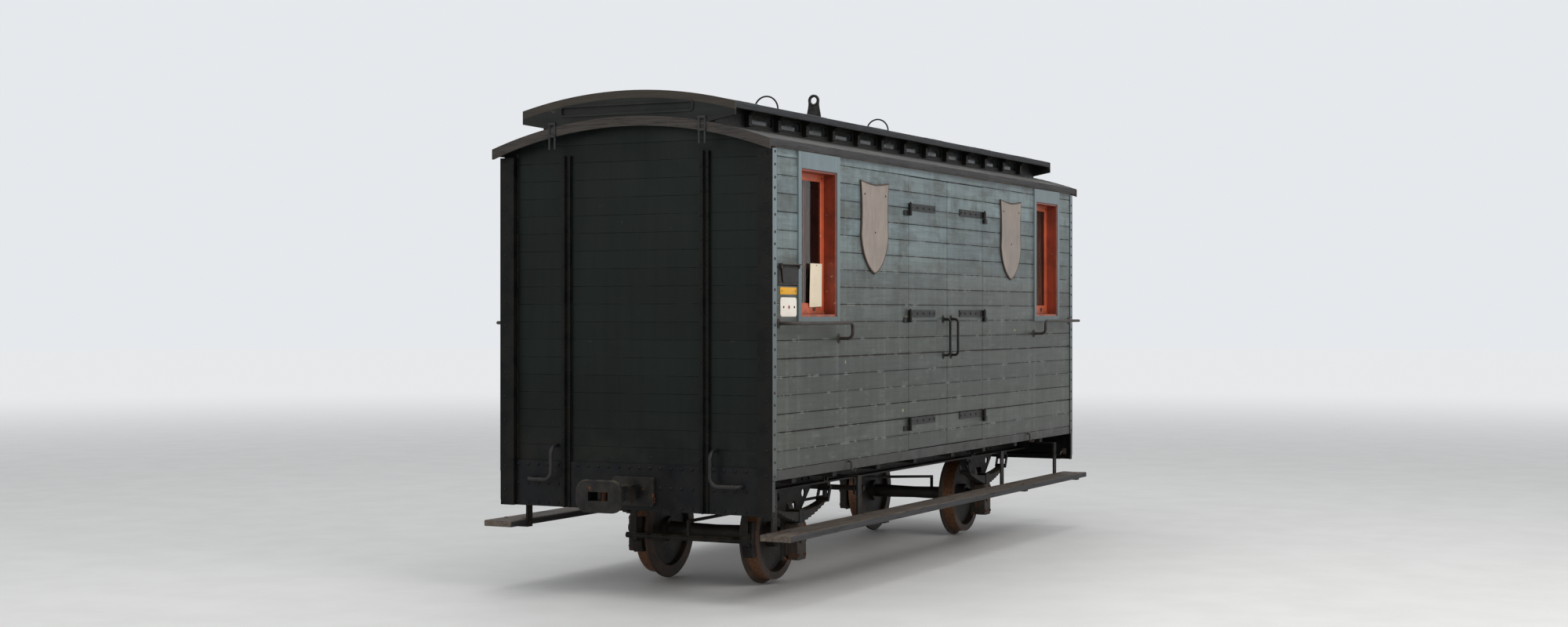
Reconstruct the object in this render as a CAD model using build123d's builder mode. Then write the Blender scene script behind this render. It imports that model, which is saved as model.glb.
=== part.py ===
from build123d import *
from math import atan2, degrees, hypot, sqrt
import os

os.makedirs("parts", exist_ok=True)

# All lengths are millimetres. X runs along the coach, Y across it and Z upwards.
# Heights start at the tips of the wheel flanges; the rail head lies RAIL above them.
FLANGE_H = 28.0
RAIL = FLANGE_H

# Body
BODY_HALF = 2800.0
BODY_SIDE = 980.0
WALL = 100.0
END_RECESS = 45.0
FLOOR_Z = RAIL + 800.0
FLOOR_T = 45.0
SILL_DROP = 54.0
SILL_Z = FLOOR_Z - SILL_DROP
SILL_BOARD = 65.0
BOARD_Z = SILL_Z + SILL_BOARD
BOARD_PITCH = 112.0
BOARDS = 18
GROOVE = 6.0
WALL_END = BODY_HALF - END_RECESS
WALL_IN = BODY_SIDE - WALL
END_IN = WALL_END - WALL

# Main roof
ROOF_R = 3000.0
ROOF_CROWN = RAIL + 2984.0
ROOF_T = 25.0
ROOF_AXIS = ROOF_CROWN - ROOF_R
ROOF_OVER = 50.0
ROOF_HALF = BODY_HALF + ROOF_OVER
EAVES_TOP = ROOF_AXIS + sqrt(ROOF_R**2 - BODY_SIDE**2)
FASCIA_T = 20.0
FASCIA_H = 54.0
FASCIA_Z = EAVES_TOP - FASCIA_H
END_BOARD_DEEP = 60.0
NOSE_R = 12.0
SEAT = 0.5

# Clerestory with its upper roof
TOP_R = 3008.0
TOP_CROWN = RAIL + 3145.0
TOP_T = 40.0
TOP_AXIS = TOP_CROWN - TOP_R
TOP_SIDE = 750.0
TOP_EDGE_T = 14.0
TOP_EDGE_Z = TOP_AXIS + sqrt(TOP_R**2 - TOP_SIDE**2)
TOP_BOARD_H = 46.0
CLER_SIDE = 620.0
CLER_T = 30.0
CLER_INSET = 15.0
ROOF_HOLE_Y = CLER_SIDE - CLER_T - CLER_INSET

# Clerestory windows between a sill on the main roof and a head under the upper one
PANES = 12
PANE_START = 380.0
PANE_W = 350.0
PANE_SILL = 17.0
PANE_HEAD = 13.0
PANE_Z0 = ROOF_AXIS + sqrt(ROOF_R**2 - CLER_SIDE**2) + PANE_SILL
PANE_Z1 = TOP_AXIS + sqrt((TOP_R - TOP_T) ** 2 - CLER_SIDE**2) - PANE_HEAD
PANE_T = 6.0
PANE_BACK = 12.0

# Side windows, measured from the body end
WIN_START = 390.0
WIN_W = 520.0
WIN_H = 920.0
WIN_Z0 = RAIL + 1740.0
WIN_Z1 = WIN_Z0 + WIN_H
WIN_X = -BODY_HALF + WIN_START + WIN_W / 2
LINING = 14.0
SASH_W = 45.0
SASH_LOW = 72.0
SASH_T = 20.0
GLASS_T = 4.0
JAMB_W = 42.0
JAMB_T = 10.0

# Doors
DOOR_HALF = 710.0
DOOR_H = 1904.0
DOOR_Z0 = BOARD_Z
DOOR_Z1 = DOOR_Z0 + DOOR_H
DOOR_GAP = 5.0
LEAF_GAP = 3.0
LEAF_BEVEL = 14.0
HINGE_X = DOOR_HALF + 2.0
HINGE_Y = BODY_SIDE + 16.0
KNUCKLE_R = 11.0
HINGE_PIN_R = 6.0
PIN_CLEARANCE = 0.5
HINGE_LOW = DOOR_Z0 + 199.0
HINGE_MID = DOOR_Z0 + 949.0
HINGE_TOP = DOOR_Z1 - 215.0
HINGE_HEIGHTS = (HINGE_LOW, HINGE_MID, HINGE_TOP)
STRAP_L = 470.0
STRAP_H = 50.0
STRAP_T = 6.0

# Underframe
SOLE_H = 180.0
SOLE_Z0 = FLOOR_Z - SOLE_H
SOLE_WEB_IN = 560.0
SOLE_WEB_T = 10.0
SOLE_OUT = 640.0
SOLE_FLANGE_T = 12.0
HEAD_DEEP = 270.0
HEAD_RISE = 20.0
HEAD_Z0 = FLOOR_Z - HEAD_DEEP
HEAD_Z1 = FLOOR_Z + HEAD_RISE
HEAD_PLATE_T = 15.0
CROSS_H = 100.0
CROSS_Z0 = FLOOR_Z - CROSS_H

# Running gear
OVERHANG = 1100.0
AXLE_X = BODY_HALF - OVERHANG
TREAD_R = 300.0
AXLE_Z = RAIL + TREAD_R
JOURNAL_R = 38.0
JOURNAL_END = 628.0
BEARING_CLEARANCE = 0.5
GUARD_T = 12.0
GUARD_OUT = SOLE_WEB_IN
GUARD_IN = GUARD_OUT - GUARD_T
SPRING_Y = 606.0
SPRING_HALF_W = 35.0
LEAF_T = 9.0
LEAVES = 7
SPRING_R = 1700.0
SPRING_TOP = AXLE_Z + 160.0
BLOCK_GAP = 6.0

# Footboards
STEP_IN = 900.0
STEP_OUT = 1110.0
STEP_Z1 = RAIL + 425.0
STEP_T = 40.0

# Couplers
COUPLER_Z = RAIL + 650.0
COUPLER_REACH = 400.0
COUPLER_END = BODY_HALF + COUPLER_REACH
DRAW_PIN_R = 16.0


def block(x0, x1, y0, y1, z0, z1, mode=Mode.ADD):
    """Box between two opposite corners."""
    with Locations(((x0 + x1) / 2, (y0 + y1) / 2, (z0 + z1) / 2)):
        Box(abs(x1 - x0), abs(y1 - y0), abs(z1 - z0), mode=mode)


def bar_x(x0, x1, y, z, radius, mode=Mode.ADD):
    """Round bar along X."""
    with Locations(Location(((x0 + x1) / 2, y, z), (0, 90, 0))):
        Cylinder(radius, abs(x1 - x0), mode=mode)


def bar_y(y0, y1, x, z, radius, mode=Mode.ADD):
    """Round bar along Y."""
    with Locations(Location((x, (y0 + y1) / 2, z), (90, 0, 0))):
        Cylinder(radius, abs(y1 - y0), mode=mode)


def bar_z(z0, z1, x, y, radius, mode=Mode.ADD):
    """Round bar along Z."""
    with Locations((x, y, (z0 + z1) / 2)):
        Cylinder(radius, abs(z1 - z0), mode=mode)


def seams(x0, x1, heights):
    """Level grooves between the boards of the right side, from x0 to x1."""
    places = [Location(((x0 + x1) / 2, -BODY_SIDE, z), (45, 0, 0)) for z in heights]
    with Locations(*places):
        Box(abs(x1 - x0), GROOVE, GROOVE, mode=Mode.SUBTRACT)


def rod(points, bend, radius):
    """Round rod bent along the given points."""
    with BuildPart() as bent:
        with BuildLine() as path:
            FilletPolyline(*points, radius=bend)
        start = path.line @ 0
        along = path.line % 0
        with BuildSketch(Plane(origin=start, z_dir=along)):
            Circle(radius)
        sweep(path=path.line)
    return bent.part


def all_corners(part):
    """The part and its three mirror images about the two upright middle planes."""
    with BuildPart() as four:
        add(part)
        mirror(about=Plane.YZ)
        mirror(about=Plane.XZ)
    return four.part


def half_turn(part):
    """The part and its copy turned half round about Z."""
    turned = part.rotate(Axis.Z, 180)
    with BuildPart() as pair:
        add(part)
        add(turned)
    return pair.part


# Floor
with BuildPart() as floor_boards:
    block(-END_IN, END_IN, -WALL_IN, WALL_IN, FLOOR_Z, FLOOR_Z + FLOOR_T)
floor_boards.part.label = "floor_boards"
export_step(floor_boards.part, "parts/floor_boards.step")

# Two channels along the whole underframe
with BuildPart() as sole_bars:
    block(-END_IN, END_IN, -SOLE_WEB_IN - SOLE_WEB_T, -SOLE_WEB_IN, SOLE_Z0, FLOOR_Z)
    block(-END_IN, END_IN, -SOLE_OUT, -SOLE_WEB_IN, SOLE_Z0, SOLE_Z0 + SOLE_FLANGE_T)
    block(-END_IN, END_IN, -SOLE_OUT, -SOLE_WEB_IN, FLOOR_Z - SOLE_FLANGE_T, FLOOR_Z)
    mirror(about=Plane.XZ)
sole_bars.part.label = "sole_bars"
export_step(sole_bars.part, "parts/sole_bars.step")

# Headstocks: a channel with its web outwards and a riveted plate before it
HEAD_WEB_T = 12.0
HEAD_BEAM_Z0 = HEAD_Z0 + 30.0
with BuildPart() as headstocks:
    block(-WALL_END, -WALL_END + HEAD_WEB_T, -WALL_IN, WALL_IN, HEAD_BEAM_Z0, FLOOR_Z)
    block(-WALL_END, -END_IN, -WALL_IN, WALL_IN, HEAD_BEAM_Z0, HEAD_BEAM_Z0 + HEAD_WEB_T)
    block(-WALL_END, -END_IN, -WALL_IN, WALL_IN, FLOOR_Z - HEAD_WEB_T, FLOOR_Z)
    block(-WALL_END - HEAD_PLATE_T, -WALL_END, -WALL_IN, WALL_IN, HEAD_Z0, HEAD_Z1)
    mirror(about=Plane.YZ)
headstocks.part.label = "headstocks"
export_step(headstocks.part, "parts/headstocks.step")

# Cross members between the sole bars, outriggers to the walls and draft plates
CROSS_HALF = 40.0
BRAKE_CROSS_X = AXLE_X + TREAD_R + 85.0
MID_CROSS_X = AXLE_X - 700.0
CROSS_X = (-BRAKE_CROSS_X, -MID_CROSS_X, 0.0, MID_CROSS_X, BRAKE_CROSS_X)
END_ARM_X = BODY_HALF - 500.0
DOOR_ARM_X = DOOR_HALF / 2
OUTRIGGER_X = (DOOR_ARM_X, MID_CROSS_X, AXLE_X, END_ARM_X)
OUTRIGGER_HALF = 30.0
DRAFT_Y = 70.0
DRAFT_T = 12.0
DRAFT_H = 180.0
DRAFT_DROP = 20.0
with BuildPart() as cross_members:
    for x in CROSS_X:
        block(x - CROSS_HALF, x + CROSS_HALF, -SOLE_WEB_IN, SOLE_WEB_IN, CROSS_Z0, FLOOR_Z)
    for x in [way * arm for arm in OUTRIGGER_X for way in (-1, 1)]:
        block(x - OUTRIGGER_HALF, x + OUTRIGGER_HALF, -WALL_IN, -SOLE_OUT, CROSS_Z0, FLOOR_Z)
        block(x - OUTRIGGER_HALF, x + OUTRIGGER_HALF, SOLE_OUT, WALL_IN, CROSS_Z0, FLOOR_Z)
    for end in (-1, 1):
        x_in = end * (CROSS_X[-1] + CROSS_HALF)
        for side in (-1, 1):
            y_in = side * DRAFT_Y
            y_out = side * (DRAFT_Y + DRAFT_T)
            draft_top = FLOOR_Z - DRAFT_DROP
            block(x_in, end * END_IN, y_in, y_out, draft_top - DRAFT_H, draft_top)
cross_members.part.label = "cross_members"
export_step(cross_members.part, "parts/cross_members.step")

# Side walls of level boards beside the doors, each with its window opening and jamb strips
SEAM_Z = [BOARD_Z + i * BOARD_PITCH for i in range(BOARDS)]
with BuildPart() as side_panel:
    with BuildSketch(Plane.YZ.offset(-WALL_END)):
        with BuildLine():
            top_out = ROOF_AXIS + sqrt((ROOF_R - ROOF_T) ** 2 - BODY_SIDE**2) - SEAT
            top_in = ROOF_AXIS + sqrt((ROOF_R - ROOF_T) ** 2 - WALL_IN**2) - SEAT
            Polyline(
                (-BODY_SIDE, SILL_Z),
                (-WALL_IN, SILL_Z),
                (-WALL_IN, top_in),
                (-BODY_SIDE, top_out),
                close=True,
            )
        make_face()
    extrude(amount=WALL_END - DOOR_HALF)
    win_x0 = WIN_X - WIN_W / 2
    win_x1 = WIN_X + WIN_W / 2
    strip_z = WIN_Z0 - JAMB_W
    seams(-WALL_END, -DOOR_HALF, [z for z in SEAM_Z if z < strip_z])
    seams(-WALL_END, win_x0 - JAMB_W, [z for z in SEAM_Z if z > strip_z])
    seams(win_x1 + JAMB_W, -DOOR_HALF, [z for z in SEAM_Z if z > strip_z])
    strip_y = -BODY_SIDE - JAMB_T
    block(win_x0 - JAMB_W, win_x0, strip_y, -BODY_SIDE, strip_z, FASCIA_Z)
    block(win_x1, win_x1 + JAMB_W, strip_y, -BODY_SIDE, strip_z, FASCIA_Z)
    block(win_x0, win_x1, strip_y, -BODY_SIDE, strip_z, WIN_Z0)
    block(win_x0, win_x1, strip_y, -BODY_SIDE, WIN_Z1, FASCIA_Z)
    block(win_x0, win_x1, strip_y, -WALL_IN, WIN_Z0, WIN_Z1, mode=Mode.SUBTRACT)

# Panels between the corners and the windows, with the slot for letters on one end of either side
SLOT_W = 160.0
SLOT_H = 40.0
SLOT_X0 = -END_IN + 15.0
SLOT_X1 = SLOT_X0 + SLOT_W
SLOT_Z0 = RAIL + 1966.0
SLOT_Z1 = SLOT_Z0 + SLOT_H
CORNER_SEAM = 8
corner_z = SEAM_Z[CORNER_SEAM]
corner_x = win_x0 - JAMB_W
with BuildPart() as long_panel:
    add(side_panel.part)
    block(-WALL_END, corner_x, strip_y, -WALL_IN, corner_z, ROOF_CROWN, mode=Mode.SUBTRACT)
long_panel_all = all_corners(long_panel.part)
with BuildPart() as side_panels:
    add(long_panel_all)
side_panels.part.label = "side_panels"
export_step(side_panels.part, "parts/side_panels.step")

with BuildPart() as corner_panel:
    add(side_panel.part)
    block(-WALL_END, corner_x, strip_y, -WALL_IN, corner_z, ROOF_CROWN, mode=Mode.INTERSECT)
corner_panel_all = all_corners(corner_panel.part)
with BuildPart() as corner_panels:
    add(corner_panel_all)
    block(SLOT_X0, SLOT_X1, -BODY_SIDE, -WALL_IN, SLOT_Z0, SLOT_Z1, mode=Mode.SUBTRACT)
    block(-SLOT_X1, -SLOT_X0, WALL_IN, BODY_SIDE, SLOT_Z0, SLOT_Z1, mode=Mode.SUBTRACT)
corner_panels.part.label = "corner_panels"
export_step(corner_panels.part, "parts/corner_panels.step")

# Lintels and sills of the door openings
with BuildPart() as door_frames:
    with BuildSketch(Plane.YZ):
        with BuildLine():
            Polyline(
                (-BODY_SIDE, DOOR_Z1),
                (-WALL_IN, DOOR_Z1),
                (-WALL_IN, top_in),
                (-BODY_SIDE, top_out),
                close=True,
            )
        make_face()
    extrude(amount=DOOR_HALF, both=True)
    block(-DOOR_HALF, DOOR_HALF, -BODY_SIDE, -WALL_IN, SILL_Z, DOOR_Z0)
    mirror(about=Plane.XZ)
door_frames.part.label = "door_frames"
export_step(door_frames.part, "parts/door_frames.step")

# End walls of level boards up to the arched roof
END_SEAM_Z = [BOARD_Z + i * BOARD_PITCH for i in range(BOARDS + 1)]
with BuildPart() as end_walls:
    with BuildSketch(Plane.YZ.offset(-WALL_END)):
        with Locations((0, (FLOOR_Z + ROOF_CROWN) / 2)):
            Rectangle(2 * WALL_IN, ROOF_CROWN - FLOOR_Z)
        with Locations((0, ROOF_AXIS)):
            Circle(ROOF_R - ROOF_T - SEAT, mode=Mode.INTERSECT)
    extrude(amount=WALL)
    with Locations(*[Location((-WALL_END, 0, z), (0, 45, 0)) for z in END_SEAM_Z]):
        Box(GROOVE, 2 * WALL_IN, GROOVE, mode=Mode.SUBTRACT)
    mirror(about=Plane.YZ)
end_walls.part.label = "end_walls"
export_step(end_walls.part, "parts/end_walls.step")

# Iron posts on the end walls: a corner angle and two stanchions at either end
POST_WEB = 8.0
ANGLE_T = 4.0
ANGLE_W = 60.0
STANCHION_Y = 500.0
STANCHION_HALF = 32.0
POST_TOP = FASCIA_Z - 5.0
with BuildPart() as end_post:
    block(-BODY_HALF, -BODY_HALF + POST_WEB, -BODY_SIDE, -WALL_IN, HEAD_Z0, POST_TOP)
    block(-BODY_HALF, -WALL_END, -BODY_SIDE, -BODY_SIDE + POST_WEB, HEAD_Z0, POST_TOP)
    block(-BODY_HALF, -WALL_END, -WALL_IN - POST_WEB, -WALL_IN, HEAD_Z0, POST_TOP)
    block(
        -BODY_HALF,
        -BODY_HALF + ANGLE_W,
        -BODY_SIDE - ANGLE_T,
        -BODY_SIDE,
        SILL_Z,
        POST_TOP,
    )
    web_x = -WALL_END - HEAD_PLATE_T
    face = -STANCHION_Y - STANCHION_HALF
    block(web_x - POST_WEB, web_x, face, -STANCHION_Y + STANCHION_HALF, HEAD_Z0, POST_TOP)
    rib = POST_WEB / 2
    block(-BODY_HALF, web_x, -STANCHION_Y - rib, -STANCHION_Y + rib, HEAD_Z0, POST_TOP)
    block(web_x, -WALL_END, face, -STANCHION_Y + STANCHION_HALF, HEAD_Z1, POST_TOP)
end_posts_all = all_corners(end_post.part)
with BuildPart() as end_posts:
    add(end_posts_all)
end_posts.part.label = "end_posts"
export_step(end_posts.part, "parts/end_posts.step")

# Arched main roof with the long hole under the clerestory
with BuildPart() as main_roof:
    with BuildSketch(Plane.YZ):
        with Locations((0, ROOF_AXIS)):
            Circle(ROOF_R)
            Circle(ROOF_R - ROOF_T, mode=Mode.SUBTRACT)
        with Locations((0, ROOF_CROWN)):
            Rectangle(2 * BODY_SIDE, 600.0, mode=Mode.INTERSECT)
    extrude(amount=ROOF_HALF, both=True)
    block(
        -END_IN + 5.0,
        END_IN - 5.0,
        -ROOF_HOLE_Y,
        ROOF_HOLE_Y,
        ROOF_CROWN - 200.0,
        ROOF_CROWN + 50.0,
        mode=Mode.SUBTRACT,
    )
main_roof.part.label = "main_roof"
export_step(main_roof.part, "parts/main_roof.step")

# Boards along the eaves of both roofs
with BuildPart() as eaves_boards:
    block(-ROOF_HALF, ROOF_HALF, -BODY_SIDE - FASCIA_T, -BODY_SIDE, FASCIA_Z, EAVES_TOP)
    low_nose = edges().filter_by(Axis.X).group_by(Axis.Y)[0]
    fillet(low_nose, NOSE_R)
    board_z = TOP_EDGE_Z - TOP_BOARD_H
    block(-ROOF_HALF, ROOF_HALF, -TOP_SIDE - TOP_EDGE_T, -TOP_SIDE, board_z, TOP_EDGE_Z)
    mirror(about=Plane.XZ)
eaves_boards.part.label = "eaves_boards"
export_step(eaves_boards.part, "parts/eaves_boards.step")

# End boards of the main roof
with BuildPart() as roof_end_boards:
    with BuildSketch(Plane.YZ.offset(-ROOF_HALF - FASCIA_T)):
        with Locations((0, ROOF_AXIS)):
            Circle(ROOF_R)
            Circle(ROOF_R - END_BOARD_DEEP, mode=Mode.SUBTRACT)
        with Locations((0, ROOF_CROWN)):
            Rectangle(2 * (BODY_SIDE + FASCIA_T), 600.0, mode=Mode.INTERSECT)
    extrude(amount=FASCIA_T)
    mirror(about=Plane.YZ)
roof_end_boards.part.label = "roof_end_boards"
export_step(roof_end_boards.part, "parts/roof_end_boards.step")

# Clerestory: glazed sides, upper roof and shaped end boards with a shallow frame
PANE_PITCH = (2 * (BODY_HALF - PANE_START) - PANE_W) / (PANES - 1)
PANE_X = [-BODY_HALF + PANE_START + PANE_W / 2 + i * PANE_PITCH for i in range(PANES)]
with BuildPart() as clerestory_sides:
    with BuildSketch(Plane.YZ):
        with Locations((-CLER_SIDE + CLER_T / 2, ROOF_CROWN)):
            Rectangle(CLER_T, 400.0)
        with Locations((0, ROOF_AXIS)):
            Circle(ROOF_R + SEAT, mode=Mode.SUBTRACT)
        with Locations((0, TOP_AXIS)):
            Circle(TOP_R - TOP_T - SEAT, mode=Mode.INTERSECT)
    extrude(amount=ROOF_HALF, both=True)
    for x in PANE_X:
        block(
            x - PANE_W / 2,
            x + PANE_W / 2,
            -CLER_SIDE,
            -CLER_SIDE + CLER_T,
            PANE_Z0,
            PANE_Z1,
            mode=Mode.SUBTRACT,
        )
    mirror(about=Plane.XZ)
clerestory_sides.part.label = "clerestory_sides"
export_step(clerestory_sides.part, "parts/clerestory_sides.step")

with BuildPart() as clerestory_glass:
    for x in PANE_X:
        glass_y = -CLER_SIDE + PANE_BACK
        block(x - PANE_W / 2, x + PANE_W / 2, glass_y, glass_y + PANE_T, PANE_Z0, PANE_Z1)
    mirror(about=Plane.XZ)
clerestory_glass.part.label = "clerestory_glass"
export_step(clerestory_glass.part, "parts/clerestory_glass.step")

with BuildPart() as clerestory_roof:
    with BuildSketch(Plane.YZ):
        with Locations((0, TOP_AXIS)):
            Circle(TOP_R)
            Circle(TOP_R - TOP_T, mode=Mode.SUBTRACT)
        with Locations((0, TOP_CROWN)):
            Rectangle(2 * TOP_SIDE, 400.0, mode=Mode.INTERSECT)
    extrude(amount=ROOF_HALF, both=True)
clerestory_roof.part.label = "clerestory_roof"
export_step(clerestory_roof.part, "parts/clerestory_roof.step")

TIP_DROP = 88.0
TIP_Z = TOP_EDGE_Z - TIP_DROP
FOOT_Y = CLER_SIDE - 40.0
VENT_HALF = 480.0
VENT_Z = TOP_CROWN - 115.0
VENT_H = 70.0
VENT_CORNER = 25.0
VENT_RIM = 12.0
VENT_PROUD = 8.0
VENT_SUNK = 8.0
with BuildPart() as clerestory_end_boards:
    tip_y = TOP_SIDE + TOP_EDGE_T
    foot_z = ROOF_AXIS + sqrt(ROOF_R**2 - FOOT_Y**2)
    with BuildSketch(Plane.YZ.offset(-ROOF_HALF - FASCIA_T)):
        with BuildLine():
            Polyline(
                (-tip_y, TOP_CROWN),
                (-tip_y, TIP_Z),
                (-FOOT_Y, foot_z),
                (0, foot_z),
                (FOOT_Y, foot_z),
                (tip_y, TIP_Z),
                (tip_y, TOP_CROWN),
                close=True,
            )
        make_face()
        with Locations((0, TOP_AXIS)):
            Circle(TOP_R, mode=Mode.INTERSECT)
        with Locations((0, ROOF_AXIS)):
            Circle(ROOF_R + SEAT, mode=Mode.SUBTRACT)
    extrude(amount=FASCIA_T)
    with BuildSketch(Plane.YZ.offset(-ROOF_HALF - FASCIA_T - VENT_PROUD)):
        with Locations((0, VENT_Z)):
            RectangleRounded(2 * VENT_HALF, VENT_H, VENT_CORNER)
    extrude(amount=VENT_PROUD)
    with BuildSketch(Plane.YZ.offset(-ROOF_HALF - FASCIA_T - VENT_PROUD)):
        with Locations((0, VENT_Z)):
            inner_w = 2 * (VENT_HALF - VENT_RIM)
            RectangleRounded(inner_w, VENT_H - 2 * VENT_RIM, VENT_CORNER - VENT_RIM)
    extrude(amount=VENT_PROUD + VENT_SUNK, mode=Mode.SUBTRACT)
    mirror(about=Plane.YZ)
clerestory_end_boards.part.label = "clerestory_end_boards"
export_step(clerestory_end_boards.part, "parts/clerestory_end_boards.step")

# Window linings with their sashes, panes and curtains
with BuildPart() as window_frame:
    half = WIN_W / 2
    block(WIN_X - half, WIN_X + half, -BODY_SIDE, -WALL_IN, WIN_Z0, WIN_Z1)
    inner = half - LINING
    block(
        WIN_X - inner,
        WIN_X + inner,
        -BODY_SIDE,
        -WALL_IN - SASH_T,
        WIN_Z0 + LINING,
        WIN_Z1 - LINING,
        mode=Mode.SUBTRACT,
    )
    light = inner - SASH_W
    block(
        WIN_X - light,
        WIN_X + light,
        -BODY_SIDE,
        -WALL_IN,
        WIN_Z0 + LINING + SASH_LOW,
        WIN_Z1 - LINING - SASH_W,
        mode=Mode.SUBTRACT,
    )
window_frames_all = all_corners(window_frame.part)
with BuildPart() as window_frames:
    add(window_frames_all)
window_frames.part.label = "window_frames"
export_step(window_frames.part, "parts/window_frames.step")

with BuildPart() as window_panes:
    pane_y = -WALL_IN - SASH_T / 2
    block(
        WIN_X - light,
        WIN_X + light,
        pane_y - GLASS_T / 2,
        pane_y + GLASS_T / 2,
        WIN_Z0 + LINING + SASH_LOW,
        WIN_Z1 - LINING - SASH_W,
    )
    mirror(about=Plane.YZ)
    mirror(about=Plane.XZ)
window_panes.part.label = "window_panes"
export_step(window_panes.part, "parts/window_panes.step")

CURTAIN_Y = WALL_IN - 28.0
CURTAIN_T = 30.0
CURTAIN_OVER = 15.0
CURTAIN_W = 405.0
CURTAIN_DROP = 40.0
ROD_R = 8.0
ROD_END = 35.0
ROD_Z = WIN_Z1 + 30.0
CURTAIN_Z0 = WIN_Z0 - CURTAIN_DROP
CURTAIN_HALF = WIN_W / 2 + CURTAIN_OVER
with BuildPart() as curtain_rods:
    rod_half = CURTAIN_HALF + ROD_END
    bar_x(WIN_X - rod_half, WIN_X + rod_half, -CURTAIN_Y, ROD_Z, ROD_R)
    for x in (WIN_X - rod_half + 10.0, WIN_X + rod_half - 10.0):
        bar_y(-CURTAIN_Y, -WALL_IN, x, ROD_Z, ROD_R - 2.0)
    mirror(about=Plane.YZ)
    mirror(about=Plane.XZ)
curtain_rods.part.label = "curtain_rods"
export_step(curtain_rods.part, "parts/curtain_rods.step")

# One curtain at each window, drawn most of the way across from the coach's end
with BuildPart() as curtains:
    x0 = WIN_X - CURTAIN_HALF
    y0 = -CURTAIN_Y - CURTAIN_T / 2
    block(x0, x0 + CURTAIN_W, y0, y0 + CURTAIN_T, CURTAIN_Z0, ROD_Z - ROD_R)
    mirror(about=Plane.YZ)
    mirror(about=Plane.XZ)
curtains.part.label = "curtains"
export_step(curtains.part, "parts/curtains.step")

# Letter slots: wall plate with hood and lugs, and the flap that hangs in the lugs
PLATE_X0 = -BODY_HALF + 85.0
PLATE_X1 = PLATE_X0 + 260.0
PLATE_Z0 = SLOT_Z0 - 29.0
PLATE_Z1 = SLOT_Z1 + 59.0
PLATE_T = 5.0
HOOD_T = 9.0
HOOD_OUT = 32.0
FLAP_GAP = 5.0
FLAP_T = 5.0
FLAP_Z0 = PLATE_Z0 + 11.0
FLAP_AXIS_Z = PLATE_Z1 - 22.0
FLAP_AXIS_Y = -BODY_SIDE - PLATE_T - 9.0
TRUNNION_R = 4.0
FLAP_INSET = 18.0
FLAP_X0 = PLATE_X0 + FLAP_INSET
FLAP_X1 = PLATE_X1 - FLAP_INSET
LUG_T = 10.0
LUG_GAP = 5.0
FLAP_TAPER = 22.0
with BuildPart() as letter_plate:
    block(PLATE_X0, PLATE_X1, -BODY_SIDE - PLATE_T, -BODY_SIDE, PLATE_Z0, PLATE_Z1)
    block(PLATE_X0, PLATE_X1, -BODY_SIDE - HOOD_OUT, -BODY_SIDE, PLATE_Z1 - HOOD_T, PLATE_Z1)
    front = edges().filter_by(Axis.X).group_by(Axis.Y)[0]
    chamfer(front, HOOD_T / 3)
    lug_r = TRUNNION_R + 5.0
    for x0 in (FLAP_X0 - LUG_GAP - LUG_T, FLAP_X1 + LUG_GAP):
        bar_x(x0, x0 + LUG_T, FLAP_AXIS_Y, FLAP_AXIS_Z, lug_r)
        block(x0, x0 + LUG_T, FLAP_AXIS_Y - lug_r, -BODY_SIDE, FLAP_AXIS_Z, PLATE_Z1 - HOOD_T)
        block(x0, x0 + LUG_T, FLAP_AXIS_Y, -BODY_SIDE, FLAP_AXIS_Z - lug_r, PLATE_Z1 - HOOD_T)
    bore = TRUNNION_R + PIN_CLEARANCE
    bar_x(PLATE_X0, PLATE_X1, FLAP_AXIS_Y, FLAP_AXIS_Z, bore, mode=Mode.SUBTRACT)
    block(
        SLOT_X0,
        SLOT_X1,
        -BODY_SIDE - PLATE_T,
        -BODY_SIDE,
        SLOT_Z0,
        SLOT_Z1,
        mode=Mode.SUBTRACT,
    )
letter_plates_all = half_turn(letter_plate.part)
with BuildPart() as letter_plates:
    add(letter_plates_all)
letter_plates.part.label = "letter_plates"
export_step(letter_plates.part, "parts/letter_plates.step")

with BuildPart() as letter_flap_right:
    flap_y = -BODY_SIDE - PLATE_T - FLAP_GAP
    with BuildSketch(Plane.XZ.offset(-flap_y)):
        with BuildLine():
            Polyline(
                (FLAP_X0, FLAP_AXIS_Z),
                (FLAP_X0 + FLAP_TAPER, FLAP_Z0),
                (FLAP_X1 - FLAP_TAPER, FLAP_Z0),
                (FLAP_X1, FLAP_AXIS_Z),
                close=True,
            )
        make_face()
    extrude(amount=FLAP_T)
    bar_x(FLAP_X0, FLAP_X1, FLAP_AXIS_Y, FLAP_AXIS_Z, TRUNNION_R + 1.0)
    reach = LUG_GAP + LUG_T - 2.0
    bar_x(FLAP_X0 - reach, FLAP_X1 + reach, FLAP_AXIS_Y, FLAP_AXIS_Z, TRUNNION_R)
letter_flap_right.part.label = "letter_flap_right"
export_step(letter_flap_right.part, "parts/letter_flap_right.step")

flap_turned = letter_flap_right.part.rotate(Axis.Z, 180)
with BuildPart() as letter_flap_left:
    add(flap_turned)
letter_flap_left.part.label = "letter_flap_left"
export_step(letter_flap_left.part, "parts/letter_flap_left.step")

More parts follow.
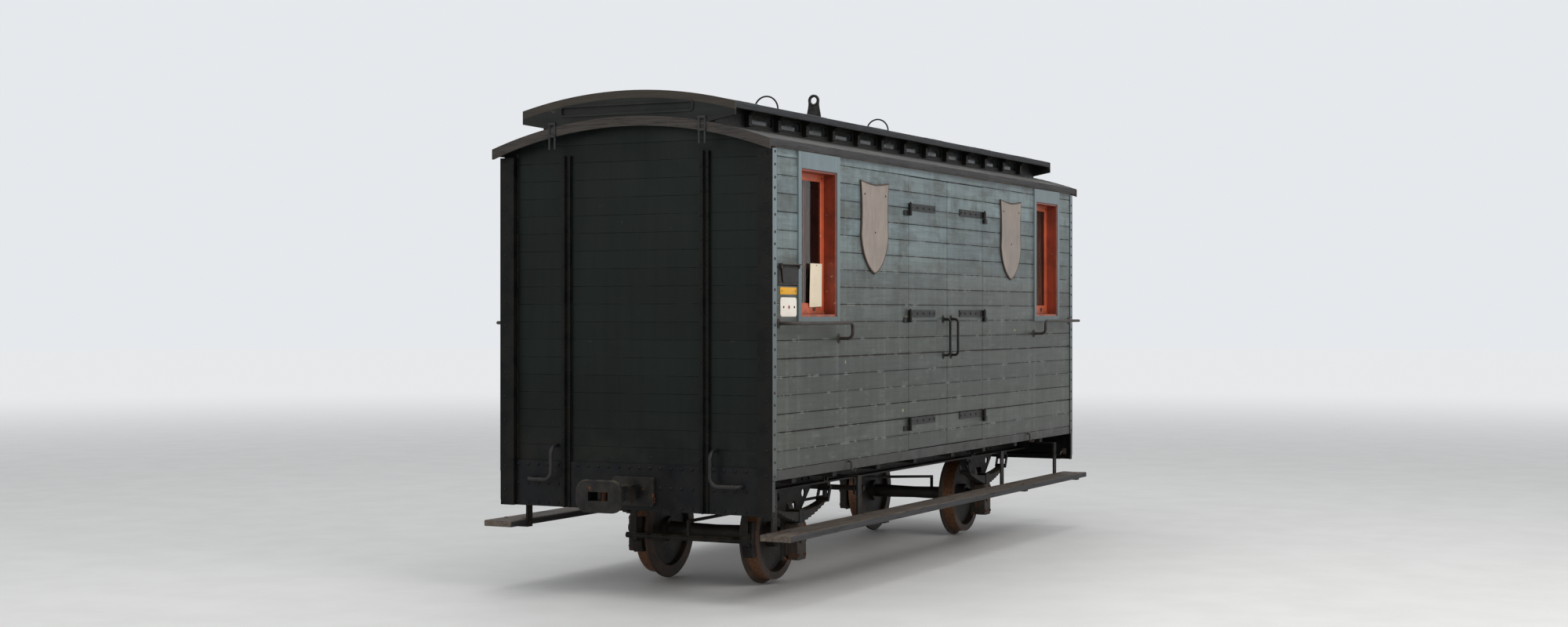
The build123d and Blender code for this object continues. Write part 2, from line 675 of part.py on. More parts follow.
# Label strip and enamel plate beside the first window of either side
LABEL_W = 224.0
LABEL_H = 44.0
LABEL_T = 2.0
LABEL_X0 = -BODY_HALF + ANGLE_W + 50.0
LABEL_Z1 = PLATE_Z0 - 17.0
ENAMEL_X = -BODY_HALF + 220.0
ENAMEL_Z = LABEL_Z1 - 121.0
ENAMEL_W = 220.0
ENAMEL_H = 118.0
ENAMEL_T = 6.0
with BuildPart() as side_plate:
    label_y = -BODY_SIDE - LABEL_T
    block(LABEL_X0, LABEL_X0 + LABEL_W, label_y, -BODY_SIDE, LABEL_Z1 - LABEL_H, LABEL_Z1)
    with BuildSketch(Plane.XZ.offset(BODY_SIDE)):
        with Locations((ENAMEL_X, ENAMEL_Z)):
            RectangleRounded(ENAMEL_W, ENAMEL_H, 18.0)
    extrude(amount=ENAMEL_T)
side_plates_all = half_turn(side_plate.part)
with BuildPart() as side_plates:
    add(side_plates_all)
side_plates.part.label = "side_plates"
export_step(side_plates.part, "parts/side_plates.step")

# Shield boards between the windows and the doors
SHIELD_X = -BODY_HALF + 1500.0
SHIELD_W = 460.0
SHIELD_H = 620.0
SHIELD_Z1 = WIN_Z1 - 20.0
SHIELD_Z0 = SHIELD_Z1 - SHIELD_H
SHIELD_T = 12.0
SHIELD_NECK = 14.0
SHIELD_BROW = 18.0
with BuildPart() as shields:
    with BuildSketch(Plane.XZ.offset(BODY_SIDE)):
        with BuildLine():
            half = SHIELD_W / 2
            brow = (SHIELD_X, SHIELD_Z1 - SHIELD_BROW)
            tip = (SHIELD_X, SHIELD_Z0)
            for way in (-1, 1):
                corner = (SHIELD_X + way * half, SHIELD_Z1)
                neck = (SHIELD_X + way * (half - SHIELD_NECK), SHIELD_Z1 - 0.18 * SHIELD_H)
                waist = (SHIELD_X + way * half * 0.97, SHIELD_Z0 + 0.42 * SHIELD_H)
                flank = (SHIELD_X + way * half * 0.62, SHIELD_Z0 + 0.14 * SHIELD_H)
                brow_mid = (SHIELD_X + way * half / 2, SHIELD_Z1 - SHIELD_BROW * 0.65)
                ThreePointArc(corner, neck, waist)
                ThreePointArc(waist, flank, tip)
                ThreePointArc(corner, brow_mid, brow)
        make_face()
    extrude(amount=SHIELD_T)
    mirror(about=Plane.YZ)
    mirror(about=Plane.XZ)
shields.part.label = "shields"
export_step(shields.part, "parts/shields.step")

# Handrails below the side windows
HOLD_R = 11.0
HOLD_Z = WIN_Z0 - 40.0
HOLD_OFF = 100.0
HOLD_DROP = 100.0
HOLD_BEND = 35.0
HOLD_L = 860.0
hold_x0 = -BODY_HALF + 90.0
hold_x1 = hold_x0 + HOLD_L
hold_y = -BODY_SIDE - HOLD_OFF
side_rail = rod(
    [
        (hold_x0, -BODY_SIDE, HOLD_Z),
        (hold_x0, hold_y, HOLD_Z),
        (hold_x1, hold_y, HOLD_Z),
        (hold_x1, hold_y, HOLD_Z - HOLD_DROP),
        (hold_x1, -BODY_SIDE, HOLD_Z - HOLD_DROP),
    ],
    HOLD_BEND,
    HOLD_R,
)
side_rails_all = all_corners(side_rail)
with BuildPart() as handrails:
    add(side_rails_all)
handrails.part.label = "handrails"
export_step(handrails.part, "parts/handrails.step")

# Bent grab rods on the headstocks and lamp brackets on the roof ends
GRAB_R = 12.0
GRAB_Y = 575.0
GRAB_OUT = 765.0
GRAB_Z = HEAD_Z1 + 100.0
GRAB_LOW = GRAB_Z - 215.0
GRAB_BEND = 54.0
plate_x = -WALL_END - HEAD_PLATE_T
grab_x = -BODY_HALF - 35.0
end_grab = rod(
    [
        (-WALL_END, -GRAB_Y, GRAB_Z),
        (grab_x, -GRAB_Y, GRAB_Z),
        (grab_x, -GRAB_Y, GRAB_LOW),
        (grab_x, -GRAB_OUT, GRAB_LOW),
        (plate_x, -GRAB_OUT, GRAB_LOW),
    ],
    GRAB_BEND,
    GRAB_R,
)
LAMP_Y = 540.0
LAMP_HALF = 26.0
LAMP_STRAP = 12.0
LAMP_T = 6.0
LAMP_H = 170.0
LAMP_BAR = 16.0
LAMP_Z1 = ROOF_CROWN - 19.0
LAMP_Z0 = LAMP_Z1 - LAMP_H
with BuildPart() as end_iron:
    add(end_grab)
    lamp_x = -ROOF_HALF - FASCIA_T
    lamp_y0 = -LAMP_Y - LAMP_HALF
    lamp_y1 = -LAMP_Y + LAMP_HALF
    for y in (lamp_y0, lamp_y1 - LAMP_STRAP):
        block(lamp_x - LAMP_T, lamp_x, y, y + LAMP_STRAP, LAMP_Z0, LAMP_Z1)
    for z in (LAMP_Z1 - LAMP_BAR, LAMP_Z1 - LAMP_H / 2 - LAMP_BAR / 2):
        block(lamp_x - 2 * LAMP_T, lamp_x - LAMP_T, lamp_y0, lamp_y1, z, z + LAMP_BAR)
end_irons_all = all_corners(end_iron.part)
with BuildPart() as end_irons:
    add(end_irons_all)
end_irons.part.label = "end_irons"
export_step(end_irons.part, "parts/end_irons.step")

# Footboards and the straps that carry them
with BuildPart() as footboards:
    block(-BODY_HALF, BODY_HALF, -STEP_OUT, -STEP_IN, STEP_Z1 - STEP_T, STEP_Z1)
    mirror(about=Plane.XZ)
footboards.part.label = "footboards"
export_step(footboards.part, "parts/footboards.step")

STRAP_X = (BODY_HALF - 1450.0, BODY_HALF - 200.0)
HANGER_T = 12.0
HANGER_HALF = 30.0
HANGER_Z = SOLE_Z0 + 60.0
HANGER_FOOT = 48.0
HANGER_TAIL = 10.0
with BuildPart() as footboard_brackets:
    for x in [way * place for place in STRAP_X for way in (-1, 1)]:
        with BuildSketch(Plane.YZ.offset(x - HANGER_HALF)):
            with BuildLine():
                under = STEP_Z1 - STEP_T
                Polyline(
                    (-SOLE_OUT, HANGER_Z - HANGER_FOOT),
                    (-SOLE_OUT - HANGER_T, HANGER_Z - HANGER_FOOT),
                    (-SOLE_OUT - HANGER_T, HANGER_Z - HANGER_T),
                    (-STEP_IN + HANGER_T, HANGER_Z - HANGER_T),
                    (-STEP_IN + HANGER_T, under - HANGER_T),
                    (-STEP_OUT + HANGER_TAIL, under - HANGER_T),
                    (-STEP_OUT + HANGER_TAIL, under),
                    (-STEP_IN, under),
                    (-STEP_IN, HANGER_Z),
                    (-SOLE_OUT, HANGER_Z),
                    close=True,
                )
            make_face()
        extrude(amount=2 * HANGER_HALF)
    mirror(about=Plane.XZ)
footboard_brackets.part.label = "footboard_brackets"
export_step(footboard_brackets.part, "parts/footboard_brackets.step")

# Axle guards: plates inside the sole bars with two horns and a keep each
BOX_HALF = 65.0
HORN_GAP = 5.0
HORN_IN = BOX_HALF + HORN_GAP
HORN_OUT = HORN_IN + 60.0
GUARD_HALF = 330.0
GUARD_THROAT = SOLE_Z0 - 100.0
GUARD_WAIST = AXLE_Z + 130.0
GUARD_TOP = FLOOR_Z - 30.0
GUARD_HOLE_X = 190.0
GUARD_HOLE_R = 28.0
KEEP_Z0 = AXLE_Z - 155.0
KEEP_Z1 = KEEP_Z0 + 20.0
THROAT_R = 20.0
with BuildPart() as axle_guards:
    with BuildSketch(Plane.XZ.offset(GUARD_IN)):
        with BuildLine():
            Polyline(
                (-AXLE_X - HORN_OUT, KEEP_Z0),
                (-AXLE_X - HORN_OUT, GUARD_WAIST),
                (-AXLE_X - GUARD_HALF, SOLE_Z0),
                (-AXLE_X - GUARD_HALF, GUARD_TOP),
                (-AXLE_X + GUARD_HALF, GUARD_TOP),
                (-AXLE_X + GUARD_HALF, SOLE_Z0),
                (-AXLE_X + HORN_OUT, GUARD_WAIST),
                (-AXLE_X + HORN_OUT, KEEP_Z0),
                close=True,
            )
        make_face()
        with Locations((-AXLE_X, (KEEP_Z1 + GUARD_THROAT) / 2)):
            throat_h = GUARD_THROAT - KEEP_Z1
            RectangleRounded(2 * HORN_IN, throat_h, THROAT_R, mode=Mode.SUBTRACT)
        for way in (-1, 1):
            with Locations((-AXLE_X + way * GUARD_HOLE_X, SOLE_Z0 - 2 * GUARD_HOLE_R)):
                Circle(GUARD_HOLE_R, mode=Mode.SUBTRACT)
    extrude(amount=GUARD_T)
    mirror(about=Plane.YZ)
    mirror(about=Plane.XZ)
axle_guards.part.label = "axle_guards"
export_step(axle_guards.part, "parts/axle_guards.step")

# Axleboxes between the horns: a deep cast front with a bolted cover and two pairs of lips
BOX_TOP = AXLE_Z + 88.0
BOX_LOW = AXLE_Z - 158.0
BOX_BACK_LOW = KEEP_Z1 + 7.0
LIP_T = 9.0
LIP_CLEARANCE = 1.0
LIP_OUT = HORN_IN + 16.0
LIP_SHORT = 5.0
LIP_R = 12.0
BOX_BACK = GUARD_IN - LIP_CLEARANCE - LIP_T - 6.0
BOX_FRONT = GUARD_OUT + LIP_CLEARANCE + LIP_T + 1.0
BOX_FACE = JOURNAL_END + 12.0
BOX_R = 18.0
COVER_T = 10.0
COVER_R = 50.0
COVER_EAR = 8.0
COVER_EAR_H = 44.0
with BuildPart() as axleboxes:
    with BuildSketch(Plane.XZ.offset(BOX_BACK)):
        with Locations((-AXLE_X, (BOX_TOP + BOX_BACK_LOW) / 2)):
            RectangleRounded(2 * BOX_HALF, BOX_TOP - BOX_BACK_LOW, BOX_R)
    extrude(amount=BOX_FRONT - BOX_BACK)
    with BuildSketch(Plane.XZ.offset(BOX_FRONT)):
        with Locations((-AXLE_X, (BOX_TOP + BOX_LOW) / 2)):
            RectangleRounded(2 * BOX_HALF, BOX_TOP - BOX_LOW, BOX_R)
    extrude(amount=BOX_FACE - BOX_FRONT)
    with BuildSketch(Plane.XZ.offset(BOX_FACE)):
        with Locations((-AXLE_X, AXLE_Z)):
            Circle(COVER_R)
        with Locations((-AXLE_X, AXLE_Z)):
            RectangleRounded(2 * (COVER_R + COVER_EAR), COVER_EAR_H, COVER_EAR)
    extrude(amount=COVER_T)
    for lip_y in (GUARD_IN - LIP_CLEARANCE - LIP_T, GUARD_OUT + LIP_CLEARANCE):
        with BuildSketch(Plane.XZ.offset(lip_y)):
            with Locations((-AXLE_X, (BOX_TOP + BOX_BACK_LOW) / 2)):
                lip_h = BOX_TOP - BOX_BACK_LOW - 2 * LIP_SHORT
                RectangleRounded(2 * LIP_OUT, lip_h, LIP_R)
        extrude(amount=LIP_T)
    bar_y(
        -JOURNAL_END - 2.0,
        -BOX_BACK,
        -AXLE_X,
        AXLE_Z,
        JOURNAL_R + BEARING_CLEARANCE,
        mode=Mode.SUBTRACT,
    )
    mirror(about=Plane.YZ)
    mirror(about=Plane.XZ)
axleboxes.part.label = "axleboxes"
export_step(axleboxes.part, "parts/axleboxes.step")

# Leaf springs with buckle, eyes, shackles and the shoes below the sole bars
EYE_X = 392.0
EYE_R = 17.0
SPRING_AXIS = SPRING_TOP + SPRING_R
EYE_Z = SPRING_AXIS - sqrt(SPRING_R**2 - EYE_X**2) + 2.0
SHOE_OUT = 32.0
SHOE_X = EYE_X + SHOE_OUT
SHOE_HALF = 22.0
SHOE_Z = SOLE_Z0 - 36.0
LEAF_STEP = 49.0
BUCKLE_HALF = 40.0
BUCKLE_T = 4.0
BUCKLE_CAP = 14.0
SHACKLE_T = 8.0
SHACKLE_W = 32.0
SHACKLE_PIN_R = 9.0
with BuildPart() as spring:
    for i in range(LEAVES):
        reach = EYE_X - LEAF_STEP * i
        with BuildSketch(Plane.XZ.offset(SPRING_Y)):
            with Locations((-AXLE_X, SPRING_AXIS)):
                Circle(SPRING_R + LEAF_T * (i + 1))
                Circle(SPRING_R + LEAF_T * i, mode=Mode.SUBTRACT)
            with Locations((-AXLE_X, SPRING_TOP)):
                Rectangle(2 * reach, 2 * EYE_X, mode=Mode.INTERSECT)
        extrude(amount=SPRING_HALF_W, both=True)
    y_out = -SPRING_Y - SPRING_HALF_W
    y_in = -SPRING_Y + SPRING_HALF_W
    block(
        -AXLE_X - BUCKLE_HALF,
        -AXLE_X + BUCKLE_HALF,
        y_out - BUCKLE_T,
        y_in + BUCKLE_T,
        BOX_TOP,
        SPRING_TOP + BUCKLE_CAP,
    )
    for way in (-1, 1):
        eye = -AXLE_X + way * EYE_X
        shoe = -AXLE_X + way * SHOE_X
        pin_out = y_out - SHACKLE_T - 4.0
        pin_in = y_in + SHACKLE_T + 4.0
        bar_y(y_out, y_in, eye, EYE_Z, EYE_R)
        bar_y(pin_out, pin_in, eye, EYE_Z, SHACKLE_PIN_R)
        bar_y(pin_out, pin_in, shoe, SHOE_Z, SHACKLE_PIN_R)
        bar_y(y_out + 3.0, y_in - 3.0, shoe, SHOE_Z, SHOE_HALF)
        block(shoe - SHOE_HALF, shoe + SHOE_HALF, y_out + 3.0, y_in - 3.0, SHOE_Z, SOLE_Z0)
        span = hypot(shoe - eye, SHOE_Z - EYE_Z)
        tilt = degrees(atan2(SHOE_Z - EYE_Z, shoe - eye))
        for y0 in (y_out - SHACKLE_T - 1.0, y_in + 1.0):
            with BuildSketch(Plane.XZ.offset(-y0 - SHACKLE_T)):
                with Locations(((eye + shoe) / 2, (EYE_Z + SHOE_Z) / 2)):
                    SlotCenterToCenter(span, SHACKLE_W, rotation=tilt)
            extrude(amount=SHACKLE_T)
leaf_springs_all = all_corners(spring.part)
with BuildPart() as leaf_springs:
    add(leaf_springs_all)
leaf_springs.part.label = "leaf_springs"
export_step(leaf_springs.part, "parts/leaf_springs.step")

# Wheelsets: turned profile from the middle of the axle outwards
AXLE_R = 45.0
HUB_SEAT_R = 52.0
HUB_R = 82.0
HUB_IN = 338.0
HUB_OUT = 462.0
WHEEL_BACK = 345.0
TYRE_W = 110.0
FLANGE_W = 32.0
RIM_T = 52.0
DISC_IN = 378.0
DISC_OUT = 402.0
CONE = 3.0
rim_r = TREAD_R - RIM_T
flange_r = TREAD_R + FLANGE_H
tread_y = WHEEL_BACK + FLANGE_W
tyre_out = WHEEL_BACK + TYRE_W
# Each row: distance from the middle of the axle, radius
WHEEL_PROFILE = [
    (0.0, 0.0),
    (0.0, AXLE_R),
    (HUB_IN - 40.0, HUB_SEAT_R),
    (HUB_IN, HUB_SEAT_R),
    (HUB_IN, HUB_R),
    (DISC_IN - 6.0, HUB_R + 2.0),
    (DISC_IN, rim_r - 8.0),
    (WHEEL_BACK, rim_r),
    (WHEEL_BACK, flange_r - 8.0),
    (WHEEL_BACK + 7.0, flange_r),
    (WHEEL_BACK + 19.0, flange_r - 2.0),
    (tread_y - 5.0, TREAD_R + 6.0),
    (tread_y, TREAD_R),
    (tyre_out, TREAD_R - CONE),
    (tyre_out, rim_r),
    (DISC_OUT + 6.0, rim_r - 10.0),
    (DISC_OUT, HUB_R + 2.0),
    (HUB_OUT, HUB_R - 2.0),
    (HUB_OUT, HUB_SEAT_R),
    (HUB_OUT + 34.0, JOURNAL_R),
    (JOURNAL_END, JOURNAL_R),
    (JOURNAL_END, 0.0),
]


def wheelset(x):
    """Two wheels on their axle at the given place along the coach."""
    with BuildPart() as turned:
        with BuildSketch(Plane.YZ.offset(x)):
            with BuildLine():
                Polyline(*[(y, AXLE_Z + r) for y, r in WHEEL_PROFILE], close=True)
            make_face()
        revolve(axis=Axis((x, 0, AXLE_Z), (0, 1, 0)))
        mirror(about=Plane.XZ)
    return turned.part


with BuildPart() as wheelset_a:
    add(wheelset(-AXLE_X))
wheelset_a.part.label = "wheelset_a"
export_step(wheelset_a.part, "parts/wheelset_a.step")

with BuildPart() as wheelset_b:
    add(wheelset(AXLE_X))
wheelset_b.part.label = "wheelset_b"
export_step(wheelset_b.part, "parts/wheelset_b.step")

# Brake beams with hangers and blocks at the outer side of each wheel pair
BLOCK_R = TREAD_R + BLOCK_GAP
BLOCK_T = 40.0
BLOCK_H = 230.0
BLOCK_HALF = 34.0
BLOCK_Y = WHEEL_BACK + 69.0
BEAM_R = 19.0
BEAM_X = AXLE_X + BLOCK_R + 69.0
BEAM_Z = AXLE_Z - 10.0
BEAM_END = BLOCK_Y + 56.0
HEAD_HALF = 25.0
HANGER_BAR = 12.0
LEVER_T = 20.0
PULL_Z = BEAM_Z + 110.0
PULL_R = 11.0
with BuildPart() as brake_beams:
    for y in (-BLOCK_Y, BLOCK_Y):
        with BuildSketch(Plane.XZ.offset(-y)):
            with Locations((-AXLE_X, AXLE_Z)):
                Circle(BLOCK_R + BLOCK_T)
                Circle(BLOCK_R, mode=Mode.SUBTRACT)
            with Locations((-AXLE_X - BLOCK_R, BEAM_Z)):
                Rectangle(BLOCK_R / 2, BLOCK_H, mode=Mode.INTERSECT)
        extrude(amount=BLOCK_HALF, both=True)
        with BuildSketch(Plane.XZ.offset(-y)):
            with BuildLine():
                back = -BEAM_X - 16.0
                front = -AXLE_X - BLOCK_R - 30.0
                Polyline(
                    (back, BEAM_Z - HEAD_HALF),
                    (back, BEAM_Z + HEAD_HALF),
                    (front, BEAM_Z + 2 * HEAD_HALF),
                    (front, BEAM_Z - 2 * HEAD_HALF),
                    close=True,
                )
            make_face()
        extrude(amount=HEAD_HALF, both=True)
        block(
            -BEAM_X - HANGER_BAR / 2,
            -BEAM_X + HANGER_BAR / 2,
            y - 20.0,
            y + 20.0,
            BEAM_Z,
            CROSS_Z0,
        )
    bar_y(-BEAM_END, BEAM_END, -BEAM_X, BEAM_Z, BEAM_R)
    with BuildSketch(Plane.XZ.offset(-LEVER_T / 2)):
        with Locations((-BEAM_X, (BEAM_Z + PULL_Z) / 2)):
            SlotCenterToCenter(PULL_Z - BEAM_Z, LEVER_T, rotation=90)
    extrude(amount=LEVER_T)
    mirror(about=Plane.YZ)
brake_beams.part.label = "brake_beams"
export_step(brake_beams.part, "parts/brake_beams.step")

# Brake shaft in the middle with its lever and the two pull rods
SHAFT_Z = AXLE_Z + 170.0
SHAFT_R = 20.0
SHAFT_HALF = 320.0
BEARING_Y = 250.0
CRANK = 70.0
CRANK_W = 44.0
ROD_GAP = 4.0
with BuildPart() as brake_rigging:
    bar_y(-SHAFT_HALF, SHAFT_HALF, 0, SHAFT_Z, SHAFT_R)
    for y in (-BEARING_Y, BEARING_Y):
        with BuildSketch(Plane.XZ.offset(-y)):
            with BuildLine():
                Polyline(
                    (-1.6 * SHAFT_R, SHAFT_Z - SHAFT_R),
                    (-2 * SHAFT_R, CROSS_Z0),
                    (2 * SHAFT_R, CROSS_Z0),
                    (1.6 * SHAFT_R, SHAFT_Z - SHAFT_R),
                    close=True,
                )
            make_face()
            with Locations((0, SHAFT_Z - SHAFT_R)):
                Circle(1.6 * SHAFT_R)
        extrude(amount=HANGER_BAR / 2, both=True)
    with BuildSketch(Plane.XZ.offset(-LEVER_T / 2)):
        with Locations((0, SHAFT_Z)):
            SlotCenterToCenter(2 * CRANK, CRANK_W, rotation=90)
    extrude(amount=LEVER_T)
    bar_x(-BEAM_X + LEVER_T / 2 + ROD_GAP, 0, 0, PULL_Z, PULL_R)
    far = (BEAM_X - LEVER_T / 2 - ROD_GAP, PULL_Z)
    near_z = SHAFT_Z + CRANK
    run = hypot(far[0], near_z - far[1])
    slope = degrees(atan2(near_z - far[1], far[0]))
    with Locations(Location((far[0] / 2, 0, (far[1] + near_z) / 2), (0, 90 + slope, 0))):
        Cylinder(PULL_R, run)
brake_rigging.part.label = "brake_rigging"
export_step(brake_rigging.part, "parts/brake_rigging.step")

# Couplers: a middle buffer cast in one with its shank, and the draw pin in its mouth
PLATE_HALF = 150.0
PLATE_HIGH = 90.0
PLATE_THICK = 20.0
SHANK_HALF = 45.0
NECK_L = 160.0
NECK_X = COUPLER_END - NECK_L
FACE_THICK = 30.0
FACE_W = 320.0
FACE_H = 200.0
FACE_CORNER = 70.0
FACE_EDGE = 10.0
NECK_HIGH = 60.0
NECK_WIDE = 115.0
MOUTH_HALF = 70.0
MOUTH_HIGH = 28.0
MOUTH_DEEP = 130.0
DRAW_PIN_BACK = 75.0
with BuildPart() as couplers:
    face_x = WALL_END + HEAD_PLATE_T
    with BuildSketch(Plane.YZ.offset(-face_x - PLATE_THICK)):
        with Locations((0, COUPLER_Z)):
            RectangleRounded(2 * PLATE_HALF, 2 * PLATE_HIGH, PLATE_THICK)
    extrude(amount=PLATE_THICK)
    block(-NECK_X, -face_x, -SHANK_HALF, SHANK_HALF, COUPLER_Z - SHANK_HALF, COUPLER_Z + SHANK_HALF)
    with BuildSketch(Plane.YZ.offset(-NECK_X)):
        with Locations((0, COUPLER_Z)):
            Rectangle(2 * SHANK_HALF, 2 * SHANK_HALF)
    with BuildSketch(Plane.YZ.offset(-COUPLER_END + FACE_THICK)):
        with Locations((0, COUPLER_Z)):
            Rectangle(2 * NECK_WIDE, 2 * NECK_HIGH)
    loft()
    with BuildSketch(Plane.YZ.offset(-COUPLER_END)):
        with Locations((0, COUPLER_Z)):
            RectangleRounded(FACE_W, FACE_H, FACE_CORNER)
    extrude(amount=FACE_THICK)
    rim = faces().sort_by(Axis.X)[0].edges()
    fillet(rim, FACE_EDGE)
    block(
        -COUPLER_END - 1.0,
        -COUPLER_END + MOUTH_DEEP,
        -MOUTH_HALF,
        MOUTH_HALF,
        COUPLER_Z - MOUTH_HIGH,
        COUPLER_Z + MOUTH_HIGH,
        mode=Mode.SUBTRACT,
    )
    bar_z(
        COUPLER_Z - NECK_HIGH - 1.0,
        COUPLER_Z + NECK_HIGH + 1.0,
        -COUPLER_END + DRAW_PIN_BACK,
        0,
        DRAW_PIN_R + PIN_CLEARANCE,
        mode=Mode.SUBTRACT,
    )
    mirror(about=Plane.YZ)
couplers.part.label = "couplers"
export_step(couplers.part, "parts/couplers.step")

with BuildPart() as draw_pins:
    pin_x = -COUPLER_END + DRAW_PIN_BACK
    bar_z(COUPLER_Z - NECK_HIGH - 25.0, COUPLER_Z + NECK_HIGH + 1.0, pin_x, 0, DRAW_PIN_R)
    bar_z(COUPLER_Z + NECK_HIGH, COUPLER_Z + NECK_HIGH + 16.0, pin_x, 0, 27.0)
    mirror(about=Plane.YZ)
draw_pins.part.label = "draw_pins"
export_step(draw_pins.part, "parts/draw_pins.step")

# Cord guides on the upper roof: two round-topped hoops and a bracket with a ring eye
HOOP_X = BODY_HALF - 1840.0
HOOP_HALF = 92.0
HOOP_LEG = 50.0
HOOP_R = 6.0
hoop_z = TOP_AXIS + sqrt(TOP_R**2 - (HOOP_HALF - HOOP_R) ** 2) + SEAT / 2
leg_top = TOP_CROWN + HOOP_LEG
with BuildPart() as hoop:
    with BuildLine() as hoop_line:
        Line((-HOOP_X, -HOOP_HALF, hoop_z), (-HOOP_X, -HOOP_HALF, leg_top))
        ThreePointArc(
            (-HOOP_X, -HOOP_HALF, leg_top),
            (-HOOP_X, 0, leg_top + HOOP_HALF),
            (-HOOP_X, HOOP_HALF, leg_top),
        )
        Line((-HOOP_X, HOOP_HALF, leg_top), (-HOOP_X, HOOP_HALF, hoop_z))
    with BuildSketch(Plane(origin=(-HOOP_X, -HOOP_HALF, hoop_z), z_dir=(0, 0, 1))):
        Circle(HOOP_R)
    sweep(path=hoop_line.line)

EYE_FOOT = 44.0
EYE_BELLY = 54.0
EYE_HEAD = 44.0
EYE_HOLE_R = 25.0
EYE_RISE = 184.0
EYE_PLATE_X = -BODY_HALF + 2610.0
EYE_PLATE_T = 12.0
with BuildPart() as rope_guides:
    add(hoop.part)
    mirror(about=Plane.YZ)
    with BuildSketch(Plane.YZ.offset(EYE_PLATE_X - EYE_PLATE_T / 2)):
        with BuildLine():
            centre = TOP_CROWN + EYE_RISE
            for way in (-1, 1):
                foot = (way * EYE_FOOT, TOP_CROWN)
                head = (way * EYE_HEAD, centre)
                belly = (way * EYE_BELLY, TOP_CROWN + 0.46 * EYE_RISE)
                neck = (way * 0.95 * EYE_HEAD, TOP_CROWN + 0.84 * EYE_RISE)
                Line((0, TOP_CROWN), foot)
                Spline(foot, belly, neck, head)
            ThreePointArc((-EYE_HEAD, centre), (0, centre + EYE_HEAD), (EYE_HEAD, centre))
        make_face()
        with Locations((0, centre)):
            Circle(EYE_HOLE_R, mode=Mode.SUBTRACT)
    extrude(amount=EYE_PLATE_T)
rope_guides.part.label = "rope_guides"
export_step(rope_guides.part, "parts/rope_guides.step")

# Door leaves: thick boards hinged on the outer face, bevelled where they meet
leaf_edge = -DOOR_HALF + DOOR_GAP
with BuildPart() as leaf:
    with BuildSketch(Plane.XY.offset(DOOR_Z0 + DOOR_GAP)):
        with BuildLine():
            Polyline(
                (leaf_edge, -BODY_SIDE),
                (-LEAF_GAP, -BODY_SIDE),
                (-LEAF_GAP - LEAF_BEVEL, -WALL_IN),
                (leaf_edge, -WALL_IN),
                close=True,
            )
        make_face()
    extrude(amount=DOOR_H - 2 * DOOR_GAP)
    seams(leaf_edge, 0.0, [z for z in SEAM_Z if DOOR_Z0 < z < DOOR_Z1 - BOARD_PITCH / 2])

with BuildPart() as leaf_iron:
    for z in HINGE_HEIGHTS:
        z0 = z - STRAP_H / 2
        z1 = z + STRAP_H / 2
        block(leaf_edge, leaf_edge + STRAP_L, -BODY_SIDE - STRAP_T, -BODY_SIDE, z0, z1)
        block(-HINGE_X, leaf_edge + 12.0, -HINGE_Y - 4.0, -BODY_SIDE - STRAP_T + 2.0, z0, z1)
        bar_z(z0, z1, -HINGE_X, -HINGE_Y, KNUCKLE_R)
        bore = HINGE_PIN_R + PIN_CLEARANCE
        bar_z(z0, z1, -HINGE_X, -HINGE_Y, bore, mode=Mode.SUBTRACT)

HANDLE_X = -75.0
HANDLE_OFF = 55.0
HANDLE_Z0 = DOOR_Z0 + 649.0
HANDLE_Z1 = HANDLE_Z0 + 260.0
HANDLE_BEND = 25.0
HANDLE_R = 9.0
handle = rod(
    [
        (HANDLE_X, -BODY_SIDE, HANDLE_Z0),
        (HANDLE_X, -BODY_SIDE - HANDLE_OFF, HANDLE_Z0),
        (HANDLE_X, -BODY_SIDE - HANDLE_OFF, HANDLE_Z1),
        (HANDLE_X, -BODY_SIDE, HANDLE_Z1),
    ],
    HANDLE_BEND,
    HANDLE_R,
)
with BuildPart() as leaf_irons:
    add(leaf_iron.part)
    add(handle)

with BuildPart() as door_right_a_leaf:
    add(leaf.part)
door_right_a_leaf.part.label = "door_right_a_leaf"
export_step(door_right_a_leaf.part, "parts/door_right_a_leaf.step")

with BuildPart() as door_right_a_irons:
    add(leaf_irons.part)
door_right_a_irons.part.label = "door_right_a_irons"
export_step(door_right_a_irons.part, "parts/door_right_a_irons.step")

with BuildPart() as door_right_b_leaf:
    add(leaf.part.mirror(Plane.YZ))
door_right_b_leaf.part.label = "door_right_b_leaf"
export_step(door_right_b_leaf.part, "parts/door_right_b_leaf.step")

with BuildPart() as door_right_b_irons:
    add(leaf_irons.part.mirror(Plane.YZ))
door_right_b_irons.part.label = "door_right_b_irons"
export_step(door_right_b_irons.part, "parts/door_right_b_irons.step")

with BuildPart() as door_left_a_leaf:
    add(leaf.part.mirror(Plane.XZ))
door_left_a_leaf.part.label = "door_left_a_leaf"
export_step(door_left_a_leaf.part, "parts/door_left_a_leaf.step")

with BuildPart() as door_left_a_irons:
    add(leaf_irons.part.mirror(Plane.XZ))
door_left_a_irons.part.label = "door_left_a_irons"
export_step(door_left_a_irons.part, "parts/door_left_a_irons.step")

with BuildPart() as door_left_b_leaf:
    add(leaf.part.rotate(Axis.Z, 180))
door_left_b_leaf.part.label = "door_left_b_leaf"
export_step(door_left_b_leaf.part, "parts/door_left_b_leaf.step")

with BuildPart() as door_left_b_irons:
    add(leaf_irons.part.rotate(Axis.Z, 180))
door_left_b_irons.part.label = "door_left_b_irons"
export_step(door_left_b_irons.part, "parts/door_left_b_irons.step")

